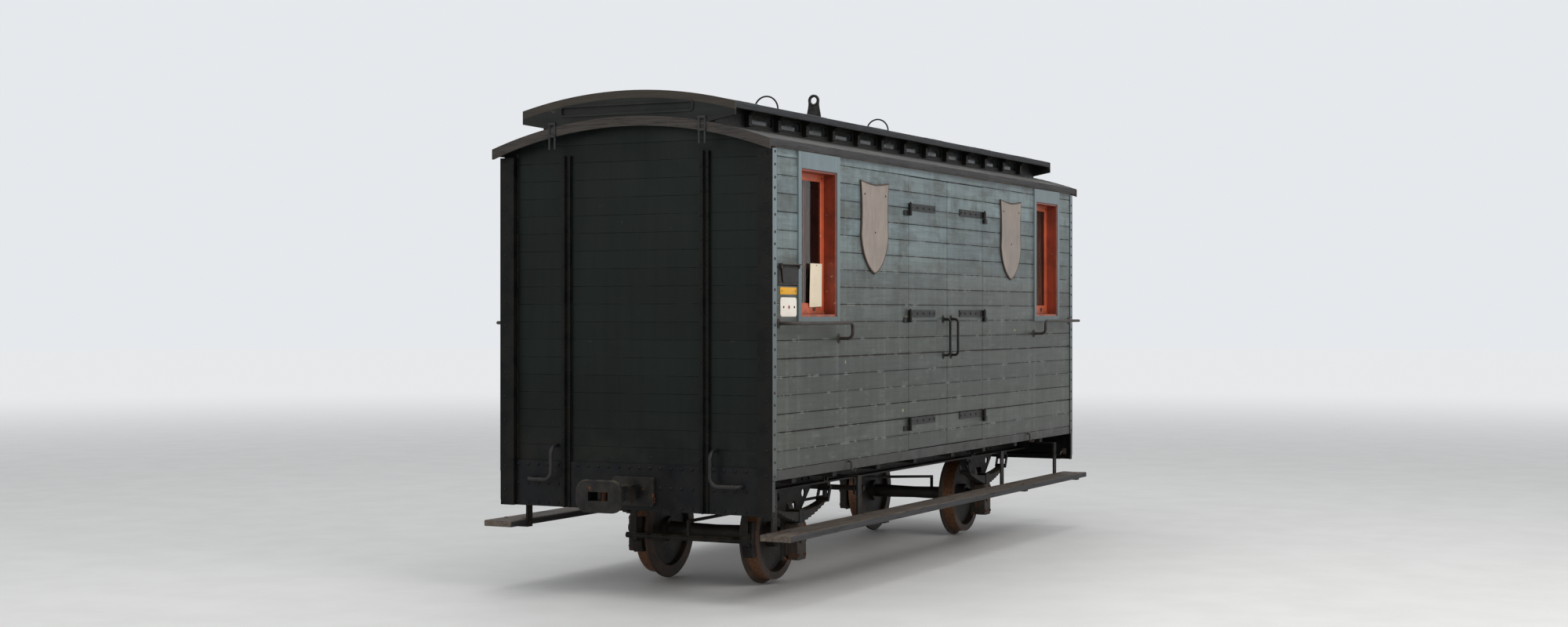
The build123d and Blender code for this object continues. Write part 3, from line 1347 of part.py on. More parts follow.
# Pintles on the door posts that the leaves hang on
PINTLE_L = 85.0
PINTLE_H = 35.0
PINTLE_GAP = 2.0
PIN_PROUD = 8.0
with BuildPart() as pintle:
    for z in HINGE_HEIGHTS:
        z1 = z - STRAP_H / 2 - PINTLE_GAP
        z0 = z1 - PINTLE_H
        block(-HINGE_X - PINTLE_L, -HINGE_X, -BODY_SIDE - STRAP_T, -BODY_SIDE, z0, z1)
        block(-HINGE_X - 12.0, -HINGE_X, -HINGE_Y - 4.0, -BODY_SIDE, z0, z1)
        bar_z(z0, z1, -HINGE_X, -HINGE_Y, KNUCKLE_R)
        bar_z(z1, z + STRAP_H / 2 + PIN_PROUD, -HINGE_X, -HINGE_Y, HINGE_PIN_R)
door_pintles_all = all_corners(pintle.part)
with BuildPart() as door_pintles:
    add(door_pintles_all)
door_pintles.part.label = "door_pintles"
export_step(door_pintles.part, "parts/door_pintles.step")

# Sorting table at one end of the room
TABLE_DEEP = 635.0
TABLE_X0 = END_IN - TABLE_DEEP
TABLE_HALF = WALL_IN - 20.0
FLOOR_TOP = FLOOR_Z + FLOOR_T
TABLE_H = 775.0
TABLE_T = 35.0
LEG = 60.0
LEG_INSET = 20.0
with BuildPart() as sorting_table:
    top_z = FLOOR_TOP + TABLE_H
    block(TABLE_X0, END_IN, -TABLE_HALF, TABLE_HALF, top_z - TABLE_T, top_z)
    for y in (-TABLE_HALF + LEG_INSET, TABLE_HALF - LEG_INSET - LEG):
        for x in (TABLE_X0 + LEG_INSET, END_IN - LEG_INSET - LEG):
            block(x, x + LEG, y, y + LEG, FLOOR_TOP, top_z - TABLE_T)
sorting_table.part.label = "sorting_table"
export_step(sorting_table.part, "parts/sorting_table.step")
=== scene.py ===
import bmesh
import bpy
import math
import random
from itertools import product
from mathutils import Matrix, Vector, noise


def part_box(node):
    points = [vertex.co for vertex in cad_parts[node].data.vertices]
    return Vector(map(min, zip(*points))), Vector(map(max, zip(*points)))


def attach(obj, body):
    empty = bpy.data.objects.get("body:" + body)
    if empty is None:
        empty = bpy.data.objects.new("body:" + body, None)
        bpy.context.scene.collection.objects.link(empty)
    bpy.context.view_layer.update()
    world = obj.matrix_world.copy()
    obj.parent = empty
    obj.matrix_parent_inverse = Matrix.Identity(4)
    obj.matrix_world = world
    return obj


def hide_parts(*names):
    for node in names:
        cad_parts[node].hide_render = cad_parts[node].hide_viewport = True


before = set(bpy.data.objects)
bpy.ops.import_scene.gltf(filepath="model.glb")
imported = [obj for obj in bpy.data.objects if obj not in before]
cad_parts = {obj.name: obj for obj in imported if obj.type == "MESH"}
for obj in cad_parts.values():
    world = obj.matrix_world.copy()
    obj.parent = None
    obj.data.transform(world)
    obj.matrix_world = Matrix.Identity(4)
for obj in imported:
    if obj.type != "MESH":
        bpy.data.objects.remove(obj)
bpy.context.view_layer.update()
random.seed(11)

# Sizes in metres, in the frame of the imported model; x and y count from the middle of the coach
RAIL = 0.028  # rail head over the tips of the flanges
AXLE_X = 1.7
TREAD_R = 0.3
BODY_HALF = 2.8
SIDE = 0.98  # outer face of the side boards
CORE = 0.957  # their back
WALL_IN = 0.88  # inner face of the walls
WALL_END = 2.755  # outer face of the end boards
END_IN = 2.655  # inner face of the end walls
DOOR = 0.71  # half the door opening
BOARD_Z = RAIL + 0.811  # seam between the sill board and the first level board
PITCH = 0.112  # height of a level board
WIN = (-2.41, -1.89, RAIL + 1.740, RAIL + 2.660)  # x and z of the window opening
SLOT = (-2.64, -2.48, RAIL + 1.966, RAIL + 2.006)  # x and z of the letter slot
JAMB = 0.042  # width of the strips about the window
SASH = 0.8995  # outer face of the sash
PANE = 0.35  # length of a clerestory pane
FASCIA_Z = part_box("eaves_boards")[0][2]
POST_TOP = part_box("end_posts")[1][2]
ROOF_R = 3.0
ROOF_AXIS = RAIL + 2.984 - ROOF_R
END_R = 2.975  # underside of the main roof
TOP_R = 3.008
TOP_AXIS = RAIL + 3.145 - TOP_R
TOP_SIDE = 0.75  # half the width between the upper eaves
CREASE = math.radians(32)


# Materials
def lin(r, g, b):
    """Linear colour of an sRGB triple in 0 to 255."""
    def one(c):
        c /= 255.0
        return c / 12.92 if c <= 0.04045 else ((c + 0.055) / 1.055) ** 2.4
    return (one(r), one(g), one(b), 1.0)


def middle(a, b):
    """Mean of two colours."""
    return tuple((p + q) / 2 for p, q in zip(a, b))


class Num:
    """Output of a node; sums with it add Math nodes."""

    def __init__(self, net, socket):
        self.net = net
        self.socket = socket

    def __add__(self, other):
        return self.net.math("ADD", self, other)

    def __sub__(self, other):
        return self.net.math("SUBTRACT", self, other)

    def __rsub__(self, other):
        return self.net.math("SUBTRACT", other, self)

    def __mul__(self, other):
        return self.net.math("MULTIPLY", self, other)

    def __truediv__(self, other):
        return self.net.math("DIVIDE", self, other)

    def __pow__(self, other):
        return self.net.math("POWER", self, other)

    def __abs__(self):
        return self.net.math("ABSOLUTE", self)

    def __gt__(self, other):
        return self.net.math("GREATER_THAN", self, other)

    def __lt__(self, other):
        return self.net.math("LESS_THAN", self, other)


class Net:
    """A node material in the making; colour is the topmost coat so far."""

    def __init__(self, name):
        self.m = bpy.data.materials.new(name)
        self.m.use_nodes = True
        self.t = self.m.node_tree
        self.t.nodes.clear()
        self.out = self.node("OutputMaterial")
        self.b = self.node("BsdfPrincipled")
        self.t.links.new(self.b.outputs[0], self.out.inputs[0])
        self.pos = Num(self, self.node("TexCoord").outputs["Object"])
        facing = Num(self, self.node("NewGeometry").outputs["Normal"])
        self.x, self.y, self.z = self.parts(self.pos)
        self.nx, self.ny, self.nz = self.parts(facing)
        self.colour = None

    def node(self, kind, *values, **settings):
        """Shader node with its settings and the values of its first sockets."""
        n = self.t.nodes.new("ShaderNode" + kind)
        for name, value in settings.items():
            setattr(n, name, value)
        for socket, value in zip(n.inputs, values):
            self.put(socket, value)
        return n

    def parts(self, vector):
        return [Num(self, out) for out in self.node("SeparateXYZ", vector).outputs]

    def put(self, socket, value):
        if isinstance(value, Num):
            self.t.links.new(value.socket, socket)
        else:
            socket.default_value = value

    def math(self, op, a, b=0.0, clamp=False):
        return Num(self, self.node("Math", a, b, operation=op, use_clamp=clamp).outputs[0])

    def hypot(self, a, b):
        return self.math("SQRT", a ** 2 + b ** 2)

    def span(self, v, lo, hi, to_lo=0.0, to_hi=1.0):
        """v taken smoothly from lo..hi to to_lo..to_hi."""
        n = self.node("MapRange", v, lo, hi, to_lo, to_hi, interpolation_type="SMOOTHSTEP")
        return Num(self, n.outputs[0])

    def vec(self, sx, sy, sz, off=(0, 0, 0)):
        n = self.node("VectorMath", self.pos, (sx, sy, sz), off, operation="MULTIPLY_ADD")
        return Num(self, n.outputs[0])

    def noise(self, scale, detail=4.0, rough=0.6, vec=None, bend=0.0):
        n = self.node("TexNoise")
        self.put(n.inputs["Vector"], vec or self.pos)
        n.inputs["Scale"].default_value = scale
        n.inputs["Detail"].default_value = detail
        n.inputs["Roughness"].default_value = rough
        n.inputs["Distortion"].default_value = bend
        return Num(self, n.outputs[0])

    def grain(self, sizes, detail, rough, bend=0.0, off=(0, 0, 0)):
        """Noise stretched along the axes."""
        return self.noise(1, detail, rough, self.vec(*sizes, off), bend)

    def cells(self, vec):
        """Distance to the nearest of scattered points."""
        n = self.node("TexVoronoi", vec)
        n.inputs["Scale"].default_value = 1
        return Num(self, n.outputs["Distance"])

    def white(self, a, b):
        """Random number of two numbers."""
        pair = Num(self, self.node("CombineXYZ", a, b).outputs[0])
        return Num(self, self.node("TexWhiteNoise", pair).outputs["Value"])

    def ramp(self, fac, *stops):
        n = self.node("ValToRGB", fac)
        e = n.color_ramp.elements
        e[0].position, e[0].color = stops[0]
        e[1].position, e[1].color = stops[-1]
        for place, colour in stops[1:-1]:
            e.new(place).color = colour
        return Num(self, n.outputs[0])

    def mix(self, fac, a, b, blend="MIX"):
        n = self.node("Mix", data_type="RGBA", blend_type=blend)
        self.put(n.inputs["Factor"], fac)
        self.put(n.inputs[6], a)
        self.put(n.inputs[7], b)
        return Num(self, n.outputs[2])

    def shade(self, colour, v):
        """Colour times the number v."""
        return self.mix(1, colour, Num(self, self.node("CombineColor", v, v, v).outputs[0]), "MULTIPLY")

    def coat(self, fac, colour):
        """Lays a colour over the ones before, as far as fac says."""
        self.colour = self.mix(fac, self.colour, colour)

    def dim(self, v, lo=None, hi=None, to_lo=0.0, to_hi=1.0):
        """Multiplies the colour by v, or by the span of v."""
        self.colour = self.shade(self.colour, v if lo is None else self.span(v, lo, hi, to_lo, to_hi))

    def bump(self, height, strength, distance):
        n = self.node("Bump")
        n.inputs["Strength"].default_value = strength
        n.inputs["Distance"].default_value = distance
        self.put(n.inputs["Height"], height)
        return Num(self, n.outputs[0])

    def done(self, rough, normal, metal=0.0, spec=0.5, **sockets):
        self.put(self.b.inputs["Base Color"], self.colour)
        self.put(self.b.inputs["Roughness"], rough)
        self.put(self.b.inputs["Metallic"], metal)
        self.b.inputs["Specular IOR Level"].default_value = spec
        self.put(self.b.inputs["Normal"], normal)
        for name, value in sockets.items():
            self.b.inputs[name.replace("_", " ")].default_value = value
        return self.m


def side_paint():
    """Satin grey-blue paint on level boards, patchy, with filled knots and fine cracks."""
    n = Net("side_paint")
    rel = (n.z - BOARD_Z) / PITCH
    k = n.math("FLOOR", rel)
    f = n.math("FRACT", rel)
    side = n.math("SIGN", n.y)
    half = n.math("SIGN", n.x)
    tone = n.white(k + half * 31, side)
    tint = n.white(k + 7.3, side + half)
    # Darker low and lighter high up the side: painted light from above, the paint itself being one colour
    high = n.span(n.z, RAIL + 0.8, RAIL + 2.8)
    n.colour = n.ramp(high, (0.05, lin(46, 49, 45)), (0.36, lin(54, 58, 54)), (0.6, lin(76, 83, 81)),
                      (0.85, lin(107, 123, 127)))
    # Towards the ends the boards turn darker olive low down and paler high up: painted light and shade
    painted_light_near_ends = n.span(abs(n.x), 2.1, 2.7)
    n.coat(painted_light_near_ends * n.span(n.z, RAIL + 1.7, RAIL + 1.2, 0, 0.6), lin(58, 60, 53))
    n.coat(painted_light_near_ends * n.span(n.z, RAIL + 1.9, RAIL + 2.3, 0, 0.55), lin(112, 125, 126))
    n.coat(tint * 0.35, lin(80, 84, 74))
    n.dim(tone, 0, 1, 0.8, 1.14)
    cloud = n.noise(1.3, 6, 0.66)
    n.coat(n.span(cloud, 0.45, 0.7, 0, 0.36), lin(106, 112, 108))
    patch = n.grain((3.1, 3.1, 5.5), 5, 0.62, off=(5, 1, 2))
    n.coat(n.span(patch, 0.46, 0.66, 0, 0.62), lin(54, 57, 48))
    dust = n.grain((6, 6, 14), 6, 0.7, off=(1, 4, 8))
    n.coat(n.span(dust, 0.54, 0.76, 0, 0.36), lin(118, 124, 118))
    runs = n.grain((21, 21, 1.3), 5, 0.62)
    n.dim(runs, 0.3, 0.7, 0.86, 1.14)
    grain = n.grain((2.6, 2.6, 70), 8, 0.72, 0.3)
    n.dim(grain, 0.3, 0.7, 0.8, 1.16)
    edge = n.math("MINIMUM", f, 1 - f) * PITCH
    # Each board darker towards its upper and lower edges: painted shade about the seams
    n.dim(edge, 0, 0.024, 0.78, 1)
    seam = n.span(edge, 0.0008, 0.006, 1, 0)
    dirty = seam * n.span(n.noise(3), 0.35, 0.6, 0.15, 0.8)
    n.coat(dirty, lin(30, 30, 27))
    worn = n.span(edge, 0.003, 0.012, 1, 0) * n.span(n.noise(9, 6, 0.7), 0.54, 0.6)
    n.coat(worn * 0.45, lin(140, 144, 138))
    knot = n.span(n.cells(n.vec(4.3, 4.3, 6.1, (0.3, 0, 0.7))), 0.05, 0.085, 1, 0)
    pick = n.white(k + half, n.math("FLOOR", n.x * 2.3)) > 0.72
    knot = knot * pick * (n.z < RAIL + 1.75)
    n.coat(knot * 0.8, lin(146, 142, 100))
    speck = n.span(n.grain((34, 34, 60), 6, 0.7), 0.69, 0.72) * n.span(n.noise(1.7), 0.5, 0.62)
    n.coat(speck * 0.7, lin(150, 138, 104))
    stud = 1
    for place in (0.85, 1.12, 1.74, 1.868, 2.432, 2.59):
        stud = n.math("MINIMUM", stud, abs(abs(n.x) - place))
    band = n.span(stud, 0, 0.03, 0.1, 0) * n.span(n.noise(4), 0.4, 0.6)
    n.coat(band, lin(140, 146, 138))
    level = (abs(f - 0.5) - 0.3) * PITCH
    nail = n.hypot(stud, level)
    filled = n.span(nail, 0.006, 0.013, 1, 0) * n.span(n.noise(5, 3), 0.5, 0.62, 0, 0.3)
    n.coat(filled, lin(128, 126, 98))
    n.coat(n.span(nail, 0.0022, 0.0036, 0.7, 0), lin(40, 38, 34))
    # Darker band along the handrail: painted shadow of the rail, with grime below it
    width = n.span(abs(abs(n.x) - 2.27), 0.3, 0.46, 1, 0) * n.span(n.noise(3.6, 5), 0.36, 0.6, 0.35, 1)
    bar = n.span(abs(n.z - (RAIL + 1.655)), 0.01, 0.05, 0.62, 0) * width
    n.coat(bar, lin(44, 44, 36))
    split = abs(n.grain((1.3, 1.3, 42), 4, 0.5, 0.2, (2, 9, 4)) - 0.5)
    crack = n.span(split, 0, 0.006, 1, 0) * n.span(n.noise(2.2, 2, 0.5, n.vec(1, 1, 3)), 0.52, 0.6)
    n.coat(crack * 0.6, lin(46, 46, 42))
    sill = n.z < BOARD_Z
    n.coat(sill * n.span(n.noise(5, 6, 0.7), 0.3, 0.65, 0.6, 0.95), lin(40, 39, 37))
    low = n.span(n.z, RAIL + 0.74, RAIL + 0.86, 0.6, 0) * n.span(n.noise(8, 7, 0.7), 0.42, 0.62)
    n.coat(low, lin(54, 49, 45))
    # Boards darker just under the eaves board: painted shadow of the eaves
    n.dim(n.z, FASCIA_Z - 0.045, FASCIA_Z - 0.004, 1, 0.42)
    fine = n.grain((60, 60, 60), 9, 0.7)
    wave = n.grain((9, 9, 2), 3, 0.5)
    height = grain * 0.8 + fine * 0.2 + wave * 0.7 - crack * 0.5
    rough = n.span(cloud, 0.3, 0.7, 0.36, 0.5) + n.math("MAXIMUM", speck, low) * 0.25
    return n.done(rough, n.bump(height, 0.5, 0.0022), 0, 0.42)


def end_paint():
    """Very dark green paint on the end walls, darker still as painted shade, with faint board edges."""
    n = Net("end_paint")
    rel = (n.z - BOARD_Z) / PITCH
    f = n.math("FRACT", rel)
    tone = n.white(n.math("FLOOR", rel), n.math("SIGN", n.x))
    # Base colour darker than the paint alone: partly painted shade of the end wall
    n.colour = n.mix(n.span(n.noise(1.5, 5, 0.6), 0.35, 0.7), lin(13, 19, 16), lin(18, 26, 22))
    n.dim(tone, 0, 1, 0.88, 1.12)
    runs = n.grain((19, 19, 1.1), 5, 0.62)
    n.dim(runs, 0.3, 0.7, 0.85, 1.12)
    edge = n.math("MINIMUM", f, 1 - f) * PITCH
    worn = n.span(edge, 0.0006, 0.004, 1, 0) * n.span(n.noise(5, 6, 0.7), 0.46, 0.6)
    n.coat(worn * 0.3, lin(50, 58, 52))
    grain = n.grain((70, 2.6, 70), 8, 0.7, 0.3)
    low = n.span(n.z, RAIL + 0.8, RAIL + 1.2, 0.5, 0) * n.span(n.noise(6), 0.35, 0.65)
    n.coat(low, lin(38, 37, 33))
    scratch = n.span(n.grain((20, 14, 40), 7, 0.7), 0.68, 0.7) * 0.5
    n.coat(scratch, lin(70, 74, 66))
    height = grain * 0.7 + n.noise(12, 4) * 0.6
    rough = n.span(n.noise(3, 5), 0.3, 0.7, 0.4, 0.55)
    return n.done(rough, n.bump(height, 0.4, 0.0016), 0, 0.14)


def trim_paint(name, tone):
    """Body paint on strips and flanges, a little lighter than the boards."""
    n = Net(name)
    cloud = n.noise(2.4, 5, 0.6)
    # Lighter high up as painted light from above, and much darker below the boards as painted shade under the
    # body
    n.colour = n.mix(n.span(n.z, RAIL + 0.8, RAIL + 2.6), lin(70, 75, 72), lin(108, 121, 125))
    n.dim(n.z, RAIL + 0.72, RAIL + 0.84, 0.3, 1)
    n.dim(cloud, 0.3, 0.7, 0.88 * tone, 1.08 * tone)
    grain = n.grain((60, 60, 3), 7, 0.7)
    chips = n.span(n.noise(26, 7, 0.72), 0.64, 0.67) * n.span(n.noise(3), 0.48, 0.58)
    n.coat(chips * 0.8, lin(60, 52, 44))
    streak = n.grain((40, 40, 1.5), 5, 0.6)
    n.dim(streak, 0.3, 0.7, 0.92, 1.05)
    height = grain * 0.6 - chips * 0.5
    return n.done(n.span(cloud, 0.3, 0.7, 0.36, 0.5), n.bump(height, 0.45, 0.0016), 0, 0.42)


def iron(name, paint, dusty, rusty, gloss, grease=0.0):
    """Painted iron with dust on top and rust breaking through."""
    n = Net(name)
    cloud = n.noise(6, 6, 0.65)
    fine = n.noise(55, 5, 0.7)
    n.colour = n.shade(paint, n.span(cloud, 0.3, 0.7, 0.7, 1.35))
    up = n.span(n.nz, 0.2, 0.95)
    settled = n.math("MAXIMUM", up * 0.8, 0.16) * n.span(n.noise(9), 0.32, 0.62)
    n.coat(settled * dusty, lin(128, 116, 98))
    patch = n.noise(11, 8, 0.72) * 0.7 + fine * 0.3
    rust = n.span(patch, 0.66 - 0.28 * rusty, 0.72 - 0.26 * rusty)
    red = n.ramp(fine, (0.25, lin(58, 34, 22)), (0.5, lin(96, 55, 33)), (0.8, lin(140, 84, 50)))
    n.coat(rust * 0.9, red)
    rough = n.math("ADD", n.span(fine, 0.2, 0.8, gloss - 0.08, gloss + 0.14), rust * 0.3, clamp=True)
    rough = n.math("ADD", rough, settled * 0.25, clamp=True)
    height = fine * 0.5 + rust * 0.3 + cloud * 0.6
    return n.done(rough, n.bump(height, 0.4, 0.0016), 0, 0.34 + grease)


def old_wood(name, dark, pale, along, paint=None, cover=0.0):
    """Bare weathered wood with long grain and cracks, and what is left of its paint."""
    n = Net(name)
    lengths = {"x": (1.6, 26, 26), "y": (26, 1.6, 26), "z": (26, 26, 1.6)}[along]
    grain = n.grain(lengths, 9, 0.72, 0.6)
    cracks = n.grain([1.9 * v if v > 2 else 0.8 * v for v in lengths], 5, 0.6, 0.3, (3, 5, 7))
    crack = n.span(abs(cracks - 0.5), 0, 0.022, 1, 0)
    n.colour = n.ramp(grain, (0.28, dark), (0.52, middle(dark, pale)), (0.75, pale))
    n.dim(n.noise(2.3, 4), 0.3, 0.7, 0.78, 1.15)
    if paint is not None:
        left = n.noise(4, 7, 0.7) * 0.65 + grain * 0.35
        keep = n.span(left, 0.62 - 0.3 * cover, 0.66 - 0.3 * cover)
        n.colour = n.mix(1 - keep, n.shade(paint, n.span(grain, 0.3, 0.7, 0.8, 1.1)), n.colour)
    # Faces that look sideways are darkened: painted shade on the fronts of the planks
    if along == "x":
        painted_side_shade = n.span(abs(n.ny), 0.6, 0.9, 0, 0.85)
        n.coat(painted_side_shade, lin(34, 38, 44))
    n.coat(crack * 0.8, lin(28, 24, 20))
    height = grain - crack * 0.6
    return n.done(n.span(grain, 0.2, 0.8, 0.62, 0.88), n.bump(height, 0.8, 0.004))


def gable_paint():
    """Nearly black paint on the clerestory's end boards, worn to brown wood along the upper edge."""
    n = Net("gable_paint")
    rise = n.hypot(n.y, n.z - TOP_AXIS)
    grain = n.grain((26, 1.6, 26), 8, 0.72, 0.6)
    cloud = n.noise(3, 6, 0.66)
    dark = n.mix(n.span(cloud, 0.35, 0.7), lin(17, 20, 17), lin(27, 29, 25))
    rim = n.ramp(grain, (0.3, lin(38, 34, 30)), (0.7, lin(66, 59, 51)))
    n.colour = n.mix(n.span(rise, 2.957, 2.962), dark, rim)
    chips = n.span(n.noise(18, 7, 0.72), 0.6, 0.63) * n.span(n.noise(2.6), 0.5, 0.62)
    n.coat(chips * 0.7, lin(84, 72, 60))
    height = grain * 0.8 + cloud * 0.3
    return n.done(n.span(grain, 0.2, 0.8, 0.5, 0.72), n.bump(height, 0.5, 0.003), 0, 0.24)


SIDE_PAINT = side_paint()
END_PAINT = end_paint()
TRIM_PAINT = trim_paint("trim_paint", 1.0)
FLANGE_PAINT = trim_paint("flange_paint", 1.12)
BLACK = iron("black_iron", lin(16, 17, 18), 0.3, 0.12, 0.38, -0.1)
SCREW_IRON = iron("screw_iron", lin(34, 33, 33), 0.3, 0.35, 0.45)
FRAME_IRON = iron("frame_iron", lin(14, 14, 15), 0.5, 0.24, 0.5, -0.12)
RUSTY = iron("rusty_iron", lin(40, 33, 28), 0.5, 0.7, 0.6)
BOX_IRON = iron("axlebox_iron", lin(42, 36, 32), 0.6, 0.42, 0.55, -0.08)
HEADSTOCK = iron("headstock_paint", lin(11, 13, 16), 0.12, 0.05, 0.38, -0.18)
GRAB = iron("grab_iron", lin(26, 27, 30), 0.25, 0.2, 0.42, -0.06)
HOLD = iron("hold_iron", lin(44, 39, 36), 0.3, 0.36, 0.45)
SLOT_IRON = iron("slot_iron", lin(38, 38, 37), 0.8, 0.3, 0.5)
POSTS = iron("posts_iron", lin(9, 10, 11), 0.16, 0.06, 0.4, -0.22)
# Dark brown edge of the shields: painted shade where the board's thickness shows
SHADED_SHIELD_EDGE = iron("shield_edge_shade", lin(64, 50, 42), 0.2, 0.1, 0.5)
CLER_PAINT = iron("clerestory_paint", lin(21, 22, 21), 0.3, 0.08, 0.45, -0.16)
OLD_WOOD = old_wood("footboard_wood", lin(50, 43, 38), lin(116, 103, 90), "x")
FASCIA = old_wood("fascia_wood", lin(84, 72, 62), lin(140, 122, 106), "x", lin(96, 84, 74), 0.5)
TOP_FASCIA = old_wood("top_fascia_wood", lin(46, 41, 35), lin(92, 82, 70), "x", lin(50, 46, 41), 0.8)
END_FASCIA = old_wood("end_fascia_wood", lin(50, 44, 38), lin(104, 92, 79), "y", lin(56, 50, 45), 0.8)
GABLE = gable_paint()
FLOOR_WOOD = old_wood("floor_wood", lin(84, 62, 42), lin(140, 108, 76), "x")
TABLE_WOOD = old_wood("table_wood", lin(92, 58, 32), lin(150, 102, 60), "y")


def red_wood(name, bright, deep, along):
    """Orange-red paint on sashes and linings, chipped to pale wood."""
    n = Net(name)
    lengths = {"x": (2, 40, 40), "z": (40, 40, 2)}[along]
    grain = n.grain(lengths, 8, 0.68, 0.3)
    cloud = n.noise(8, 4)
    n.colour = n.mix(n.span(cloud, 0.3, 0.7), bright, deep)
    n.dim(grain, 0.3, 0.7, 0.82, 1.12)
    chips = n.span(n.noise(30, 7, 0.7), 0.63, 0.66) * n.span(n.noise(4), 0.5, 0.6)
    n.coat(chips, lin(196, 150, 110))
    low = n.span(n.z, WIN[2] + 0.01, WIN[2] + 0.06, 0.55, 0) * n.span(cloud, 0.3, 0.6)
    n.coat(low, lin(84, 50, 36))
    return n.done(n.span(grain, 0.2, 0.8, 0.36, 0.52), n.bump(grain, 0.4, 0.0012))


SASH_PAINT = red_wood("sash_paint", lin(192, 86, 50), lin(166, 70, 40), "z")
SASH_RAIL = red_wood("sash_rail_paint", lin(200, 100, 66), lin(172, 80, 50), "x")
# The linings take a darker red than the sashes: painted shade of the deep reveal
LINING = red_wood("lining_paint", lin(144, 56, 32), lin(110, 42, 24), "z")


def canvas():
    """Grey roof canvas; boards show on the inside of the roof."""
    n = Net("roof_canvas")
    cloud = n.noise(1.4, 6, 0.66)
    weave = n.math("SINE", n.x * 1900) * n.math("SINE", n.y * 1900)
    fine = n.noise(38, 6, 0.7)
    n.colour = n.ramp(cloud, (0.3, lin(44, 45, 44)), (0.5, lin(60, 60, 57)), (0.72, lin(88, 85, 78)))
    n.dim(fine, 0.3, 0.7, 0.85, 1.12)
    lap = abs(n.math("FRACT", n.x + 3) - 0.5)
    seam = n.span(lap, 0, 0.016, 1, 0)
    n.coat(seam * 0.5, lin(34, 34, 33))
    under = (n.nz < -0.2) * (abs(n.y) < 0.9) * (abs(n.x) < 2.68)
    planks = n.span(abs(n.math("FRACT", n.y * 11) - 0.5), 0, 0.05, 0.55, 1)
    inside = n.shade(n.mix(n.span(fine, 0.3, 0.7), lin(150, 134, 104), lin(178, 162, 132)), planks)
    n.coat(under, inside)
    height = weave * 0.12 + (cloud * 1.6 + (fine * 0.4 + seam))
    return n.done(n.span(fine, 0.2, 0.8, 0.55, 0.8), n.bump(height, 0.5, 0.004))


CANVAS = canvas()


def inner_paint():
    """Varnished upright boards of the inside."""
    n = Net("inner_boards")
    cloud = n.noise(2, 5)
    lines = n.span(abs(n.math("FRACT", (n.x + n.y) * 10) - 0.5), 0, 0.035, 0.5, 1)
    grain = n.grain((30, 30, 2), 7, 0.7)
    n.colour = n.mix(n.span(cloud, 0.3, 0.7), lin(168, 128, 84), lin(138, 98, 60))
    n.dim(lines)
    n.dim(grain, 0.3, 0.7, 0.85, 1.1)
    return n.done(n.span(grain, 0.2, 0.8, 0.4, 0.6), n.bump(grain + lines, 0.4, 0.002))


INNER = inner_paint()


def enamel(name, base, dirt, gloss):
    """Smooth coat with a little dirt and a few specks."""
    n = Net(name)
    cloud = n.noise(9, 5)
    specks = n.span(n.noise(70, 4, 0.7), 0.66, 0.7) * 0.5
    n.colour = n.mix(n.span(cloud, 0.4, 0.75, 0, 0.35), base, dirt)
    n.coat(specks, lin(96, 74, 52))
    return n.done(n.span(cloud, 0.3, 0.7, gloss, gloss + 0.15), n.bump(cloud, 0.15, 0.001))


ENAMEL = enamel("white_enamel", lin(232, 224, 212), lin(190, 176, 156), 0.16)
YELLOW = enamel("yellow_paint", lin(224, 162, 10), lin(182, 128, 18), 0.34)
RED_DOT = enamel("red_enamel", lin(150, 44, 36), lin(110, 40, 34), 0.2)
PAPER = enamel("paper", lin(228, 214, 190), lin(206, 190, 160), 0.7)


def shield_paint():
    """Blank weathered field of the shields."""
    n = Net("shield_paint")
    cloud = n.noise(3.2, 6, 0.66)
    fine = n.grain((30, 30, 7), 7, 0.7)
    n.colour = n.ramp(cloud, (0.3, lin(122, 110, 102)), (0.5, lin(139, 127, 118)), (0.7, lin(152, 141, 131)))
    n.dim(fine, 0.3, 0.7, 0.88, 1.08)
    hurt = n.noise(26, 7, 0.72) > 0.68
    n.coat(hurt, lin(92, 72, 58))
    return n.done(n.span(cloud, 0.3, 0.7, 0.42, 0.62), n.bump(fine, 0.3, 0.0012))


SHIELD = shield_paint()


def glass(name, tint, haze, ior, clear=1.0):
    """Smeared glass, slightly wavy."""
    n = Net(name)
    n.colour = tint
    smear = n.span(n.noise(4, 6, 0.7), 0.35, 0.75, 0.015, haze)
    return n.done(smear, n.bump(n.noise(3, 2), 0.08, 0.01), Transmission_Weight=clear, IOR=ior)


GLASS = glass("window_glass", (0.86, 0.88, 0.86, 1.0), 0.06, 1.22)
TOP_GLASS = glass("clerestory_glass", (0.055, 0.06, 0.06, 1.0), 0.32, 1.42, 0.25)


def cloth():
    """Brown woven cloth with thin orange stripes, and a painted highlight on the crests of its folds."""
    n = Net("curtain_cloth")
    weft = n.math("SINE", n.z * 2600)
    warp = n.math("SINE", n.x * 2600)
    fade = n.noise(3, 4)
    n.colour = n.mix(n.span(fade, 0.3, 0.7), lin(88, 60, 47), lin(66, 46, 37))
    across = abs(n.math("FRACT", n.x / 0.052) - 0.5)
    n.coat(n.span(across, 0.03, 0.05, 0.8, 0), lin(190, 104, 72))
    # Lighter colour on the fold crests turned outwards: painted highlight
    crest = n.span(abs(n.y), 0.8575, 0.8605) * n.span(n.grain((14, 1, 0.6), 3, 0.5), 0.36, 0.5)
    n.coat(crest * 0.8, lin(168, 118, 92))
    n.dim(n.grain((90, 90, 8), 6, 0.7), 0.3, 0.7, 0.88, 1.08)
    return n.done(0.9, n.bump(weft + warp, 0.2, 0.0006), 0, 0.2, Sheen_Weight=0.35, Sheen_Roughness=0.5)


CLOTH = cloth()


